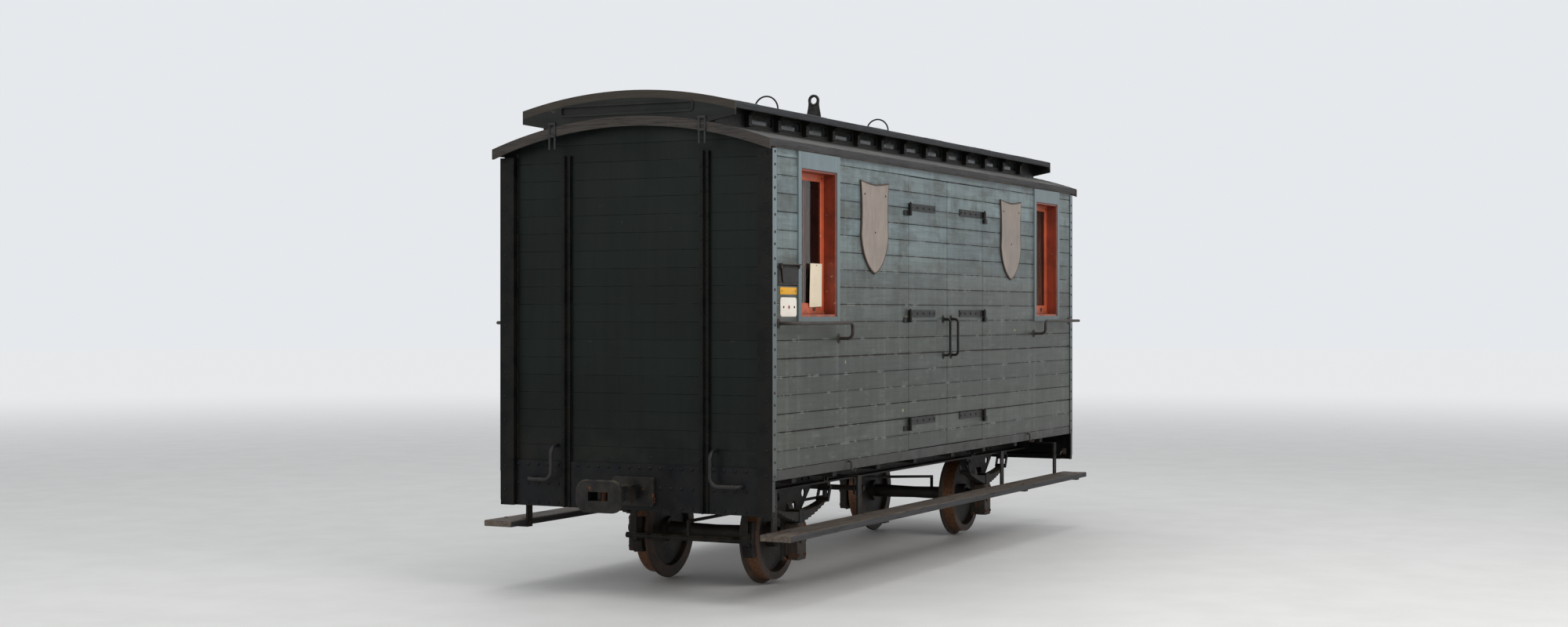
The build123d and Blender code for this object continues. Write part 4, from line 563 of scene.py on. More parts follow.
def wheel_steel():
    """Rusty tyres with a brighter tread round a grimy wheel body."""
    n = Net("wheel_steel")
    r = n.hypot(abs(n.x) - AXLE_X, n.z - (RAIL + TREAD_R))
    fine = n.noise(60, 6, 0.7)
    cloud = n.noise(7, 6, 0.68)
    rust = n.ramp(cloud * 0.6 + fine * 0.4, (0.32, lin(30, 24, 21)), (0.5, lin(56, 41, 32)),
                  (0.68, lin(94, 68, 50)))
    grime = n.mix(n.span(cloud, 0.35, 0.65), lin(24, 22, 20), lin(48, 40, 33))
    body = n.mix(n.span(r, 0.235, 0.25), grime, rust)
    tread = (r > TREAD_R - 0.0035) * (abs(n.y) > 0.376)
    bright = n.mix(n.span(fine, 0.3, 0.75), lin(130, 92, 64), lin(88, 56, 38))
    n.colour = n.mix(tread, body, bright)
    rough = n.span(fine, 0.2, 0.8, 0.5, 0.75) - tread * 0.15
    return n.done(rough, n.bump(fine + cloud, 0.5, 0.0016), tread * 0.5)


WHEEL = wheel_steel()


def ground():
    """Pale floor that fades into the sky."""
    n = Net("pale_floor")
    far = n.hypot(n.x, n.y)
    fine = n.noise(2, 5)
    pale = n.mix(n.span(fine, 0.3, 0.7), (0.7, 0.69, 0.67, 1), (0.74, 0.73, 0.71, 1))
    n.put(n.b.inputs["Base Color"], pale)
    n.put(n.b.inputs["Roughness"], 0.6)
    glow = n.node("Emission", (0.8, 0.81, 0.82, 1))
    both = n.node("MixShader", n.span(far, 9, 34))
    n.t.links.new(n.b.outputs[0], both.inputs[1])
    n.t.links.new(glow.outputs[0], both.inputs[2])
    n.t.links.new(both.outputs[0], n.out.inputs[0])
    return n.m


# Mesh tools
def finish_piece(name, bm, mats, replaces=(), body="coach_frame"):
    """Turns the mesh into a piece that rides on its body."""
    bmesh.ops.recalc_face_normals(bm, faces=bm.faces)
    for e in bm.edges:
        if len(e.link_faces) == 2 and e.calc_face_angle(0.0) > CREASE:
            e.smooth = False
    for f in bm.faces:
        f.smooth = True
    mesh = bpy.data.meshes.new(name)
    bm.to_mesh(mesh)
    bm.free()
    for m in mats:
        mesh.materials.append(m)
    piece = bpy.data.objects.new(name, mesh)
    bpy.context.collection.objects.link(piece)
    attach(piece, body)
    if replaces:
        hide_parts(*replaces)
    return piece


def skin(bm, rings, caps=True, mat=0):
    """Quads between rings of points, each ring closed on itself."""
    rows = [[bm.verts.new(p) for p in ring] for ring in rings]
    count = len(rows[0])
    for a, b in zip(rows, rows[1:]):
        for i in range(count):
            j = (i + 1) % count
            bm.faces.new((a[i], a[j], b[j], b[i])).material_index = mat
    if caps:
        bm.faces.new(rows[0]).material_index = mat
        bm.faces.new(rows[-1][::-1]).material_index = mat


def weave(bm, grid):
    """Quads of a sheet whose points stand in columns."""
    for left, right in zip(grid, grid[1:]):
        for k in range(len(left) - 1):
            bm.faces.new((left[k], right[k], right[k + 1], left[k + 1]))


def turns(count):
    """Angles of a full turn in equal steps."""
    return [math.tau * i / count for i in range(count)]


def circle(at, u, v, r, sides):
    """Points of a circle in the plane of u and v."""
    return [at + (u * math.cos(t) + v * math.sin(t)) * r for t in turns(sides)]


def plank(bm, along, a, b, w0, w1, back, face, chamfer, seed, rough=0.0008, step=0.09, top=None):
    """Board from a to b along X or Y, w0 to w1 high, from its back to its face; top limits its height."""
    out = 1.0 if face > back else -1.0
    low, high = chamfer
    count = max(1, int(abs(b - a) / step))
    rings = []
    for i in range(count + 1):
        s = a + (b - a) * i / count
        n1 = noise.noise(Vector((s * 2.3, seed, 0.3))) * rough
        n2 = noise.noise(Vector((s * 5.1, seed, 4.7))) * rough
        n3 = noise.noise(Vector((s * 3.7, seed, 9.1))) * rough * 0.8
        hi = min(w1 + n3, top(s)) if top else w1 + n3
        lo = min(w0 + n2 * 0.5, hi - 0.0005)
        c = min(low, (hi - lo) / 3)
        d = min(high, (hi - lo) / 3)
        face_s = face - out * (rough + n1)
        section = ((back, lo), (face_s - out * c, lo), (face_s, lo + c),
                   (face_s + out * n2 * 0.4, (lo + hi) / 2),
                   (face_s, hi - d), (face_s - out * d, hi), (back, hi))
        rings.append([(s, d, w) if along == "x" else (d, s, w) for d, w in section])
    skin(bm, rings)


def brick(bm, x0, x1, y0, y1, z0, z1, c, mat=0):
    """Box with all edges bevelled by c."""
    lo = Vector((min(x0, x1), min(y0, y1), min(z0, z1)))
    hi = Vector((max(x0, x1), max(y0, y1), max(z0, z1)))
    c = min(c, min(hi - lo) / 3)
    mid = (lo + hi) / 2
    half = (hi - lo) / 2
    made = bmesh.ops.create_cube(bm, size=1.0)
    for v in made["verts"]:
        v.co = Vector((mid[i] + 2 * v.co[i] * half[i] for i in range(3)))
    edges = list({e for v in made["verts"] for e in v.link_edges})
    faces = {f for v in made["verts"] for f in v.link_faces}
    for f in faces:
        f.material_index = mat
    if c > 0:
        bmesh.ops.bevel(bm, geom=edges, offset=c, segments=1, profile=0.5, affect="EDGES", material=mat)


def frame_of(normal):
    """The normal and two directions square to it."""
    n = Vector(normal).normalized()
    u = n.orthogonal().normalized()
    return n, u, n.cross(u)


def dome(bm, at, normal, r, h, sides=10, mat=0):
    """Rivet head."""
    n, u, v = frame_of(normal)
    at = Vector(at)
    rows = ((1.0, 0.0), (0.93, 0.42), (0.68, 0.8), (0.3, 0.98))
    skin(bm, [circle(at + n * (h * hh), u, v, r * rr, sides) for rr, hh in rows], mat=mat)


def bolt(bm, at, normal, r, h):
    """Hexagon head on a washer."""
    n, u, v = frame_of(normal)
    at = Vector(at)
    washer = ((r * 1.45, 0.0), (r * 1.45, 0.0022), (r * 1.3, 0.003))
    head = ((r, 0.001), (r, h * 0.82), (r * 0.82, h))
    for sides, rows in ((16, washer), (6, head)):
        skin(bm, [circle(at + n * d, u, v, rr, sides) for rr, d in rows])


def screw(bm, at, normal, r, turn):
    """Slotted screw head, nearly flush."""
    n, u, v = frame_of(normal)
    u, v = u * math.cos(turn) + v * math.sin(turn), v * math.cos(turn) - u * math.sin(turn)
    at = Vector(at)
    rows = ((1.0, 0.0), (0.92, 0.35), (0.6, 0.5), (0.18, 0.42))
    skin(bm, [circle(at + n * (r * hh), u, v, r * rr, 12) for rr, hh in rows])
    w = r * 0.12
    corners = [(-r * 0.9, -w), (r * 0.9, -w), (r * 0.9, w), (-r * 0.9, w)]
    skin(bm, [[at + n * d + u * p + v * q for p, q in corners] for d in (r * 0.3, r * 0.53)], mat=1)


def tube(bm, points, r, taper=None):
    """Round bar through the points."""
    pts = [Vector(p) for p in points]
    prev = None
    rings = []
    for i, p in enumerate(pts):
        t = (pts[min(i + 1, len(pts) - 1)] - pts[max(i - 1, 0)]).normalized()
        if prev is None:
            u = t.orthogonal().normalized()
        else:
            u = (prev - t * prev.dot(t)).normalized()
        prev = u
        v = t.cross(u)
        rings.append(circle(p, u, v, r * taper(i / (len(pts) - 1)) if taper else r, 10))
    skin(bm, rings)


def bend(points, radius):
    """Points along a path whose corners are rounded."""
    pts = [Vector(p) for p in points]
    path = [pts[0]]
    for a, b, c in zip(pts, pts[1:], pts[2:]):
        u, w = (a - b).normalized(), (c - b).normalized()
        cut = min(radius, (a - b).length / 2.2, (c - b).length / 2.2)
        for i in range(7):
            s = i / 6
            path.append((b + u * cut) * (1 - s) ** 2 + b * 2 * s * (1 - s) + (b + w * cut) * s ** 2)
    path.append(pts[-1])
    return path


def moulding(bm, x0, x1, z0, z1, sy, profile, mats):
    """Mitred frame about an opening in an XZ plane."""
    rows = []
    for side, low, y in profile:
        a, b, c, d, y = x0 + side, x1 - side, z0 + low, z1 - side, -y * sy
        rows.append([(a, y, c), (b, y, c), (b, y, d), (a, y, d)])
    verts = [[bm.verts.new(p) for p in row] for row in rows]
    for a, b in zip(verts, verts[1:] + verts[:1]):
        for i in range(4):
            j = (i + 1) % 4
            bm.faces.new((a[i], a[j], b[j], b[i])).material_index = mats[i]


# Signs of the ends and sides; the first end and side are those of the photograph
ENDS = (("a", 1.0), ("b", -1.0))
SIDES = (("right", 1.0), ("left", -1.0))
FACES = [(ex, sy) for _, ex in ENDS for _, sy in SIDES]
DOORS = [(f"door_{s}_{e}", ex, sy) for s, sy in SIDES for e, ex in ENDS]

# Half a gap and a chamfer between two boards, and how far each seam has opened, from the lowest up
GAP = 0.0016
EDGE = 0.0036
SEAM = (0.6, 0.35, 1.15, 0.7, 0.35, 0.5, 1.15, 0.6, 0.5, 0.6, 0.7, 0.45, 0.7, 0.55, 0.8, 0.5, 0.65, 0.6, 0.8)


def has_slot(ex, sy):
    """Whether this quarter of the coach has the letter slot."""
    return ex * sy > 0


# Floor, light and camera
def stage():
    """Round pale floor."""
    bm = bmesh.new()
    skin(bm, [[(r * math.cos(t), r * math.sin(t), 0) for t in turns(48)] for r in (0.001, 90)], caps=False)
    mesh = bpy.data.meshes.new("floor")
    bm.to_mesh(mesh)
    bm.free()
    mesh.materials.append(ground())
    floor = bpy.data.objects.new("floor", mesh)
    bpy.context.collection.objects.link(floor)


def area(name, at, aim, size, power, colour):
    """Area light that looks at a point."""
    data = bpy.data.lights.new(name, "AREA")
    data.shape = "RECTANGLE"
    data.size, data.size_y = size
    data.energy = power
    data.color = colour
    lamp = bpy.data.objects.new(name, data)
    lamp.location = at
    lamp.rotation_euler = (Vector(aim) - Vector(at)).to_track_quat("-Z", "Y").to_euler()
    bpy.context.collection.objects.link(lamp)


# Strength of the sky as a light, and as it is seen
AMBIENT = 0.62
SEEN = 0.84
# Camera of the photograph: place, heading in degrees, focal length and width of the picture in pixels
EYE = (-13.82, -6.58, RAIL + 1.76)
HEADING = 26.6
FOCAL, WIDE = 2620, 2000


def light_and_camera():
    """Sky, three area lights and the photograph's camera."""
    world = bpy.data.worlds.new("hall")
    bpy.context.scene.world = world
    world.use_nodes = True
    t = world.node_tree
    back = t.nodes["Background"]
    back.inputs[0].default_value = (0.94, 0.965, 1.0, 1)
    seen = t.nodes.new("ShaderNodeLightPath")
    most = seen.outputs["Is Camera Ray"]
    for ray in ("Is Glossy Ray", "Is Transmission Ray"):
        pick = t.nodes.new("ShaderNodeMath")
        pick.operation = "MAXIMUM"
        t.links.new(most, pick.inputs[0])
        t.links.new(seen.outputs[ray], pick.inputs[1])
        most = pick.outputs[0]
    level = t.nodes.new("ShaderNodeMath")
    level.operation = "MULTIPLY_ADD"
    t.links.new(most, level.inputs[0])
    level.inputs[1].default_value = SEEN - AMBIENT
    level.inputs[2].default_value = AMBIENT
    t.links.new(level.outputs[0], back.inputs[1])
    area("key", (-4.0, -9.0, 7.5), (-0.5, -0.5, 1.6), (7.0, 4.0), 470, (1.0, 0.985, 0.96))
    area("end_fill", (-11.0, 3.0, 5.0), (-2.5, 0.0, 1.8), (5.0, 4.0), 130, (0.97, 0.99, 1.0))
    area("top", (0.0, 0.5, 9.0), (0.0, 0.0, 0.0), (9.0, 6.0), 220, (1.0, 1.0, 1.0))
    cam = bpy.data.objects.new("camera", bpy.data.cameras.new("camera"))
    bpy.context.collection.objects.link(cam)
    cam.location = EYE
    cam.rotation_euler = (math.radians(90), 0, math.radians(HEADING - 90))
    cam.data.sensor_width = 36
    cam.data.lens = 36 * FOCAL / WIDE
    cam.data.clip_end = 300
    bpy.context.scene.camera = cam
    bpy.context.scene.view_settings.view_transform = "Standard"


# Body
def side_walls():
    """Level boards, core and window trim of the side walls."""
    bm = bmesh.new()
    for ex, sy in FACES:
        seed = ex * 3.1 + sy * 7.7
        face, behind, inner = -SIDE * sy, -CORE * sy, -WALL_IN * sy
        seams = [BOARD_Z + k * PITCH for k in range(18)]
        seams = [RAIL + 0.746] + seams + [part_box("side_panels")[1][2] - 0.032]
        for k, (z0, z1) in enumerate(zip(seams, seams[1:])):
            low, high = SEAM[k - 1] if k else 0.5, SEAM[k]
            spans = [(-WALL_END, -DOOR)]
            if z1 > WIN[2] and z0 < WIN[3]:
                spans = [(-WALL_END, WIN[0]), (WIN[1], -DOOR)]
            for n, (a, b) in enumerate(spans):
                lo, hi = z0 + GAP * low, z1 - GAP * high
                pieces = [(a, b, lo, hi)]
                if has_slot(ex, sy) and n == 0 and z0 < RAIL + 1.986 < z1:
                    s0, s1, s2, s3 = SLOT
                    pieces = [(a, s0, lo, hi), (s1, b, lo, hi), (s0, s1, lo, s2), (s0, s1, s3, hi)]
                for x0, x1, lo, hi in pieces:
                    plank(bm, "x", x0 * ex, x1 * ex, lo, hi, behind, face, (EDGE * low, EDGE * high),
                          seed + k)
        flanges = ((2.7415, 0.0042, RAIL + 0.748, POST_TOP - 0.001),
                   (2.7615, 0.0036, RAIL + 0.562, RAIL + 0.745))
        for x, thick, z0, z1 in flanges:
            brick(bm, -2.7985 * ex, -x * ex, (-SIDE - 0.0005) * sy, (-SIDE - thick) * sy, z0, z1, 0.0006, 3)
        strips = [
            (WIN[0] - JAMB, WIN[0], WIN[2] - JAMB, FASCIA_Z),
            (WIN[1], WIN[1] + JAMB, WIN[2] - JAMB, FASCIA_Z),
            (WIN[0] + 0.0008, WIN[1] - 0.0008, WIN[2] - JAMB, WIN[2]),
            (WIN[0] + 0.0008, WIN[1] - 0.0008, WIN[3], FASCIA_Z),
        ]
        for x0, x1, z0, z1 in strips:
            brick(bm, x0 * ex, x1 * ex, (-SIDE + 0.004) * sy, (-SIDE - 0.010) * sy, z0, z1, 0.0025, 2)
        holes = [WIN, SLOT] if has_slot(ex, sy) else [WIN]
        levels = sorted({RAIL + 0.746, RAIL + 2.786} | {z for h in holes for z in h[2:]})
        for z0, z1 in zip(levels, levels[1:]):
            cuts = sorted((h[0], h[1]) for h in holes if h[2] < (z0 + z1) / 2 < h[3])
            x = -WALL_END
            for a, b in cuts + [(-DOOR, -DOOR)]:
                brick(bm, x * ex, a * ex, inner, behind, z0, z1, 0.0, 1)
                x = b
    finish_piece("side_boards", bm, [SIDE_PAINT, INNER, TRIM_PAINT, FLANGE_PAINT],
                 ("side_panels", "corner_panels"))


def door_leaves():
    """Boards, core and ledges of the door leaves."""
    lo, hi = RAIL + 0.816, RAIL + 2.710
    for name, ex, sy in DOORS:
        bm = bmesh.new()
        for k in range(17):
            below, above = SEAM[k], SEAM[k + 1]
            z0 = max(lo, BOARD_Z + k * PITCH + GAP * below)
            z1 = min(hi, BOARD_Z + (k + 1) * PITCH - GAP * above)
            edges, seed = (EDGE * below, EDGE * above), k + ex * 9 + sy * 5
            plank(bm, "x", -0.705 * ex, -0.0035 * ex, z0, z1, -CORE * sy, -SIDE * sy, edges, seed)
        brick(bm, -0.705 * ex, -0.016 * ex, -CORE * sy, -0.906 * sy, lo, hi, 0.001, 1)
        for z in (RAIL + 0.90, RAIL + 1.66, RAIL + 2.50):
            brick(bm, -0.690 * ex, -0.03 * ex, -0.906 * sy, -WALL_IN * sy, z, z + 0.13, 0.004, 1)
        finish_piece(f"{name}_boards", bm, [SIDE_PAINT, INNER], (f"{name}_leaf",), name)


def upright(x0, x1, y, z0, z1):
    """Upright rectangle at y."""
    return [(x0, y, z0), (x1, y, z0), (x1, y, z1), (x0, y, z1)]


def end_boards():
    """Level boards of the end walls under the arched roof."""
    bm = bmesh.new()

    def arc(y):
        return ROOF_AXIS + math.sqrt(END_R ** 2 - y * y) - 0.001

    for _, ex in ENDS:
        x_face, x_in = -WALL_END * ex, -END_IN * ex
        x_back = x_face + 0.024 * ex
        k = 0
        while BOARD_Z + k * PITCH < arc(0.0) - 0.01:
            z0 = BOARD_Z + k * PITCH if k else RAIL + 0.80
            z1 = BOARD_Z + (k + 1) * PITCH
            half = WALL_IN
            while arc(half) < z0 + 0.004:
                half -= 0.01
            plank(bm, "y", -half, half, z0 + 0.0004, z1 - 0.0004, x_back, x_face, (0.0011, 0.0011),
                  k + 40 * ex, 0.0006, 0.05, arc)
            k += 1
        rings = []
        for i in range(41):
            y = -WALL_IN + 2 * WALL_IN * i / 40
            rings.append(upright(x_in, x_back, y, RAIL + 0.80, arc(y)))
        skin(bm, rings, mat=1)
        for _, sy in SIDES:
            rings = []
            for y in (WALL_IN + 0.001, SIDE - 0.001):
                rings.append(upright(x_face, x_face - 0.0025 * ex, y * sy, POST_TOP - 0.006, arc(y) - 0.0005))
            skin(bm, rings)
    finish_piece("end_wall_boards", bm, [END_PAINT, INNER], ("end_walls",))


# Rows about a window opening: inset of the sides and the top, inset of the bottom, distance from the middle
LINING_ROWS = ((0.0, 0.0, SIDE), (0.012, 0.012, SIDE), (0.014, 0.014, 0.978),
               (0.014, 0.014, 0.901), (0.014, 0.014, WALL_IN), (0.0, 0.0, WALL_IN))
SASH_ROWS = ((0.0145, 0.0145, SASH), (0.047, 0.074, SASH), (0.051, 0.078, 0.8975), (0.059, 0.086, 0.893),
             (0.059, 0.086, 0.882), (0.057, 0.084, 0.8805), (0.0145, 0.0145, 0.8805))


def windows():
    """Linings and sashes; the sash has a bevelled glazing edge and a taller bottom rail."""
    bm = bmesh.new()
    for ex, sy in FACES:
        x0, x1 = sorted((WIN[0] * ex, WIN[1] * ex))
        z0, z1 = WIN[2:]
        moulding(bm, x0, x1, z0, z1, sy, LINING_ROWS, (1, 2, 2, 2))
        moulding(bm, x0, x1, z0, z1, sy, SASH_ROWS, (1, 0, 1, 0))
        brick(bm, x0 + 0.015, x1 - 0.015, -0.905 * sy, -SASH * sy, z0 + 0.015, z0 + 0.028, 0.002, 1)
        for x in (x0 + 0.16, x1 - 0.16):
            rings = []
            for r, d in ((0.017, SASH), (0.017, 0.9015), (0.012, 0.9035), (0.007, 0.9005)):
                rings.append([(x + 1.3 * r * math.cos(t), -d * sy, z0 + 0.052 + r * math.sin(t))
                              for t in turns(16)])
            skin(bm, rings, mat=3)
    finish_piece("window_sashes", bm, [SASH_PAINT, SASH_RAIL, LINING, RUSTY],
                 ("window_frames",))


def clerestory():
    """Posts between the small panes, and the thin frames of the panes."""
    lo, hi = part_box("clerestory_glass")
    z0, z1 = lo[2], hi[2]
    pitch = (hi[0] - lo[0] - PANE) / 11
    bm = bmesh.new()
    frame_rows = ((0.0, 0.0004, 0.6215), (0.004, 0.016, 0.6235), (0.012, 0.020, 0.6225),
                  (0.015, 0.020, 0.619), (0.015, 0.020, 0.6085))
    post_rows = ((z0 - 0.012, z0 - 0.004, 0.652), (z0 + 0.06, z0 + 0.06, 0.652),
                 (z1 + 0.008, z1 + 0.004, 0.70))
    for _, sy in SIDES:
        for i in range(12):
            x0 = lo[0] + i * pitch
            rings = []
            for inset, r, y in frame_rows:
                ring = round_rect(x0 + inset, x0 + PANE - inset, z0 + inset, z1 - inset, r)
                rings.append([(x, -y * sy, z) for x, z in ring])
            skin(bm, rings, caps=False)
        for i in range(13):
            x = lo[0] - (pitch - PANE) / 2 + i * pitch
            a, b, y0 = x - 0.021, x + 0.021, -0.6195 * sy
            skin(bm, [[(a, y0, p), (b, y0, p), (b, -y * sy, q), (a, -y * sy, q)] for p, q, y in post_rows])
    finish_piece("clerestory_posts", bm, [CLER_PAINT])


def ripple(x, seed, y, waves):
    """Smooth random numbers along x, one for each shift and scale."""
    return [noise.noise(Vector((x * scale, seed + shift, y))) for shift, scale in waves]


def eaves():
    """Weathered boards along the eaves of both roofs."""
    bm = bmesh.new()
    lo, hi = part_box("eaves_boards")
    x1 = hi[0]
    top = ROOF_AXIS + math.sqrt(ROOF_R ** 2 - SIDE ** 2)
    edge = TOP_AXIS + math.sqrt(TOP_R ** 2 - TOP_SIDE ** 2)
    boards = ((1.0, SIDE, 1.0, lo[2], top, 0.010), (7.0, TOP_SIDE, 0.764, edge - 0.046, edge, 0.005))
    for _, sy in SIDES:
        for seed, y_in, y_out, z0, z1, r in boards:
            rings = []
            for i in range(91):
                x = -x1 + 2 * x1 * i / 90
                w = ripple(x, seed, sy, ((0, 1.3), (3, 4.1), (6, 2.2), (9, 9.0)))
                out = y_out + (0.0016 * (w[0] - 1) + 0.0008 * (w[1] - 1))
                low = z0 + 0.0018 * (1 + w[2]) + 0.0012 * (1 + w[3])
                pts = [(y_in, low), (out - r, low), (out - 0.3 * r, low + 0.3 * r), (out, low + r),
                       (out - 0.0006, (low + z1) / 2), (out, z1 - r), (out - 0.3 * r, z1 - 0.3 * r),
                       (out - r, z1 - 0.001), (y_in, z1 - 0.001)]
                rings.append([(x, -y * sy, z) for y, z in pts])
            skin(bm, rings, mat=0 if seed < 5 else 1)
    finish_piece("eaves_planks", bm, [FASCIA, TOP_FASCIA], ("eaves_boards",))


def footboards():
    """Footboard planks with worn, rounded outer edges."""
    bm = bmesh.new()
    lo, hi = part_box("footboards")
    for _, sy in SIDES:
        rings = []
        for i in range(111):
            x = lo[0] + (hi[0] - lo[0]) * i / 110
            w = ripple(x, sy * 5, 1.7, ((0, 1.1), (3, 3.9), (6, 7.5), (9, 2.7), (12, 15.0)))
            worn = 0.003 * max(0.0, w[1]) + 0.002 * max(0.0, w[2])
            r = 0.006 + worn
            y_out = 1.110 - 0.0015 - 0.002 * (0.5 + 0.5 * w[0]) - 0.001 * abs(w[4])
            z0, z1 = hi[2] - 0.040, hi[2] - 0.0008 * (1 + w[3])
            pts = [(0.9, z0), (y_out - 0.004, z0), (y_out, z0 + 0.005), (y_out, z1 - r),
                   (y_out - 0.35 * r, z1 - 0.35 * r), (y_out - r, z1), (1.06, z1 - 0.0006),
                   (1.0, z1 - 0.0018), (0.94, z1 - 0.0006), (0.906, z1), (0.9, z1 - 0.005)]
            rings.append([(x, -y * sy, z) for y, z in pts])
        skin(bm, rings)
    finish_piece("footboard_planks", bm, [OLD_WOOD], ("footboards",))


# Small parts
def quarter(ex, sy):
    """Function that mirrors a point into quarter ex, sy; y counts outwards and z from the rail."""
    return lambda x, y, z: (x * ex, -y * sy, RAIL + z)


def every(step, start, end):
    """Numbers from start to end, a step apart."""
    while start < end:
        yield start
        start += step


def fasteners():
    """Rivets, bolts and screws of the frame and body."""
    black, rusty, screws = bmesh.new(), bmesh.new(), bmesh.new()
    for ex, sy in FACES:
        at = quarter(ex, sy)
        out_x, out_y = (-ex, 0, 0), (0, -sy, 0)
        for z in (0.553, 0.675, 0.797):
            for i in range(12):
                y = 0.038 + i * 0.075
                hidden = abs(y - 0.5) < 0.045 or y > 0.872 or (y < 0.16 and abs(z - 0.65) < 0.1)
                if not hidden:
                    dome(black, at(-2.77, y, z), out_x, 0.0115, 0.008)
        z = 0.775
        while z < 2.74:
            dome(screws, at(-2.768 + random.uniform(-0.003, 0.003), SIDE + 0.004, z), out_y, 0.0095, 0.005)
            z += random.uniform(0.060, 0.105)
        rows = (
            (dome, black, [-BODY_HALF], [0.945], every(0.15, 0.63, 2.77), out_x, 0.0085, 0.005, 8),
            (dome, black, [-2.778], [0.478, 0.522], every(0.15, 0.56, 2.74), out_x, 0.0075, 0.005, 8),
            (bolt, black, [-2.70, -2.62, -2.53, -2.47], [0.64], [0.71], out_y, 0.012, 0.012),
            (bolt, black, [-2.6, -1.35], [0.652], [0.652], out_y, 0.012, 0.012),
            (dome, rusty, [-2.6, -1.35], [0.935, 1.075], [0.4242], (0, 0, 1), 0.014, 0.005, 12),
            (dome, black, [-1.95, -1.85, -1.55, -1.45], [0.57], [0.66, 0.74], out_y, 0.011, 0.008),
            (bolt, rusty, [-1.8, -1.6], [0.56], [0.155], out_y, 0.010, 0.014),
            (bolt, rusty, [-1.747, -1.653], [0.640], [0.175, 0.365], out_y, 0.009, 0.010),
            (bolt, rusty, [-1.745, -1.655], [0.650], [TREAD_R], out_y, 0.007, 0.006),
        )
        for make, bm, xs, ys, zs, out, *size in rows:
            for spot in product(xs, ys, zs):
                make(bm, at(*spot), out, *size)
    finish_piece("frame_rivets", black, [HEADSTOCK])
    finish_piece("frame_bolts", rusty, [RUSTY])
    finish_piece("flange_screws", screws, [SCREW_IRON])
    for name, ex, sy in DOORS:
        bm = bmesh.new()
        for x, z in product((-0.66, -0.56, -0.45, -0.34, -0.26), (1.01, 1.76, 2.5)):
            dome(bm, quarter(ex, sy)(x, SIDE + 0.006, z), (0, -sy, 0), 0.010, 0.005)
        finish_piece(f"{name}_bolts", bm, [BLACK], body=name)


def foot(bm, x, y, z, ex, sy, rows, tall=1.0, mat=0):
    """Round foot on a side, from rows of radius and height, drawn out upwards."""
    rings = []
    for r, d in rows:
        ring = [(x + r * math.cos(t), z + tall * r * math.sin(t)) for t in turns(20)]
        rings.append([(px * ex, -(y + d) * sy, pz) for px, pz in ring])
    skin(bm, rings, mat=mat)


def side_fittings():
    """Screws of the plates and shields, and the dot of the enamel plate."""
    dot = ((0.011, 0.0), (0.011, 0.0012), (0.009, 0.0018))
    bm = bmesh.new()
    for ex, sy in FACES:
        screws = [(-1.3 + x, 0.992, 2.55 + z, 0.006, 0.7) for x, z in ((-0.17, 0), (0.17, 0), (0, -0.25))]
        if has_slot(ex, sy):
            screws += [(-2.58 + x, 0.986, 1.799, 0.007, 0.4) for x in (-0.073, 0.073)]
            screws += [(-2.585 + x, 0.985, z, 0.005, 1.2) for x in (-0.118, 0.118) for z in (1.948, 2.03)]
            screws += [(-2.578 + x, 0.982, 1.898, 0.004, 1.0) for x in (-0.09, 0.09)]
            foot(bm, -2.58, 0.986, RAIL + 1.799, ex, sy, dot, mat=2)
        for x, y, z, r, turn in screws:
            screw(bm, quarter(ex, sy)(x, y, z), (0, -sy, 0), r, turn)
    finish_piece("side_screws", bm, [BLACK, HEADSTOCK, RED_DOT])


def iron_fittings():
    """Feet of the handrails and handles, hook and short rod below the sides, screws of the sashes."""
    rail_foot = ((0.024, 0.0), (0.024, 0.003), (0.021, 0.0045), (0.0125, 0.0055), (0.0115, 0.012))
    handle_foot = ((0.02, 0.0), (0.02, 0.0025), (0.017, 0.004), (0.0105, 0.005), (0.0095, 0.01))
    hook = ((0.972, 0.80), (1.0, 0.80), (1.0, 0.742), (1.028, 0.736), (1.03, 0.762))
    hook = bend([(-1.70, y, z) for y, z in hook], 0.012)
    rod = bend([(-2.752, 0.93, 0.598), (-2.66, 0.93, 0.598), (-2.645, 0.93, 0.575)], 0.02)
    bm = bmesh.new()
    for ex, sy in FACES:
        at = quarter(ex, sy)
        n = (0, -sy, 0)
        for x, z in ((-2.71, 1.70), (-1.85, 1.60)):
            foot(bm, x, SIDE, RAIL + z, ex, sy, rail_foot, 1.3)
            for dz in (0.0225, -0.0225):
                dome(bm, at(x, SIDE + 0.0045, z + dz), n, 0.0045, 0.003, 8)
        tube(bm, [at(*p) for p in hook], 0.006, lambda t: 1.0 if t < 0.75 else 1.25 - t / 3)
        tube(bm, [at(*p) for p in rod], 0.007)
        brick(bm, -2.757 * ex, -2.735 * ex, -0.915 * sy, -0.945 * sy, RAIL + 0.575, RAIL + 0.62, 0.002)
        for x in (-2.36, -1.94):
            screw(bm, (x * ex, -(SASH + 0.0002) * sy, WIN[3] - 0.036), n, 0.005, 0.5)
    finish_piece("iron_fittings", bm, [HOLD, HEADSTOCK])
    for name, ex, sy in DOORS:
        bm = bmesh.new()
        for z in (1.46, 1.72):
            foot(bm, -0.075, SIDE, RAIL + z, ex, sy, handle_foot, 1.4)
            for dz in (-0.021, 0.021):
                dome(bm, quarter(ex, sy)(-0.075, SIDE + 0.003, z + dz), (0, -sy, 0), 0.004, 0.003, 8)
        finish_piece(f"{name}_handle_feet", bm, [BLACK], body=name)


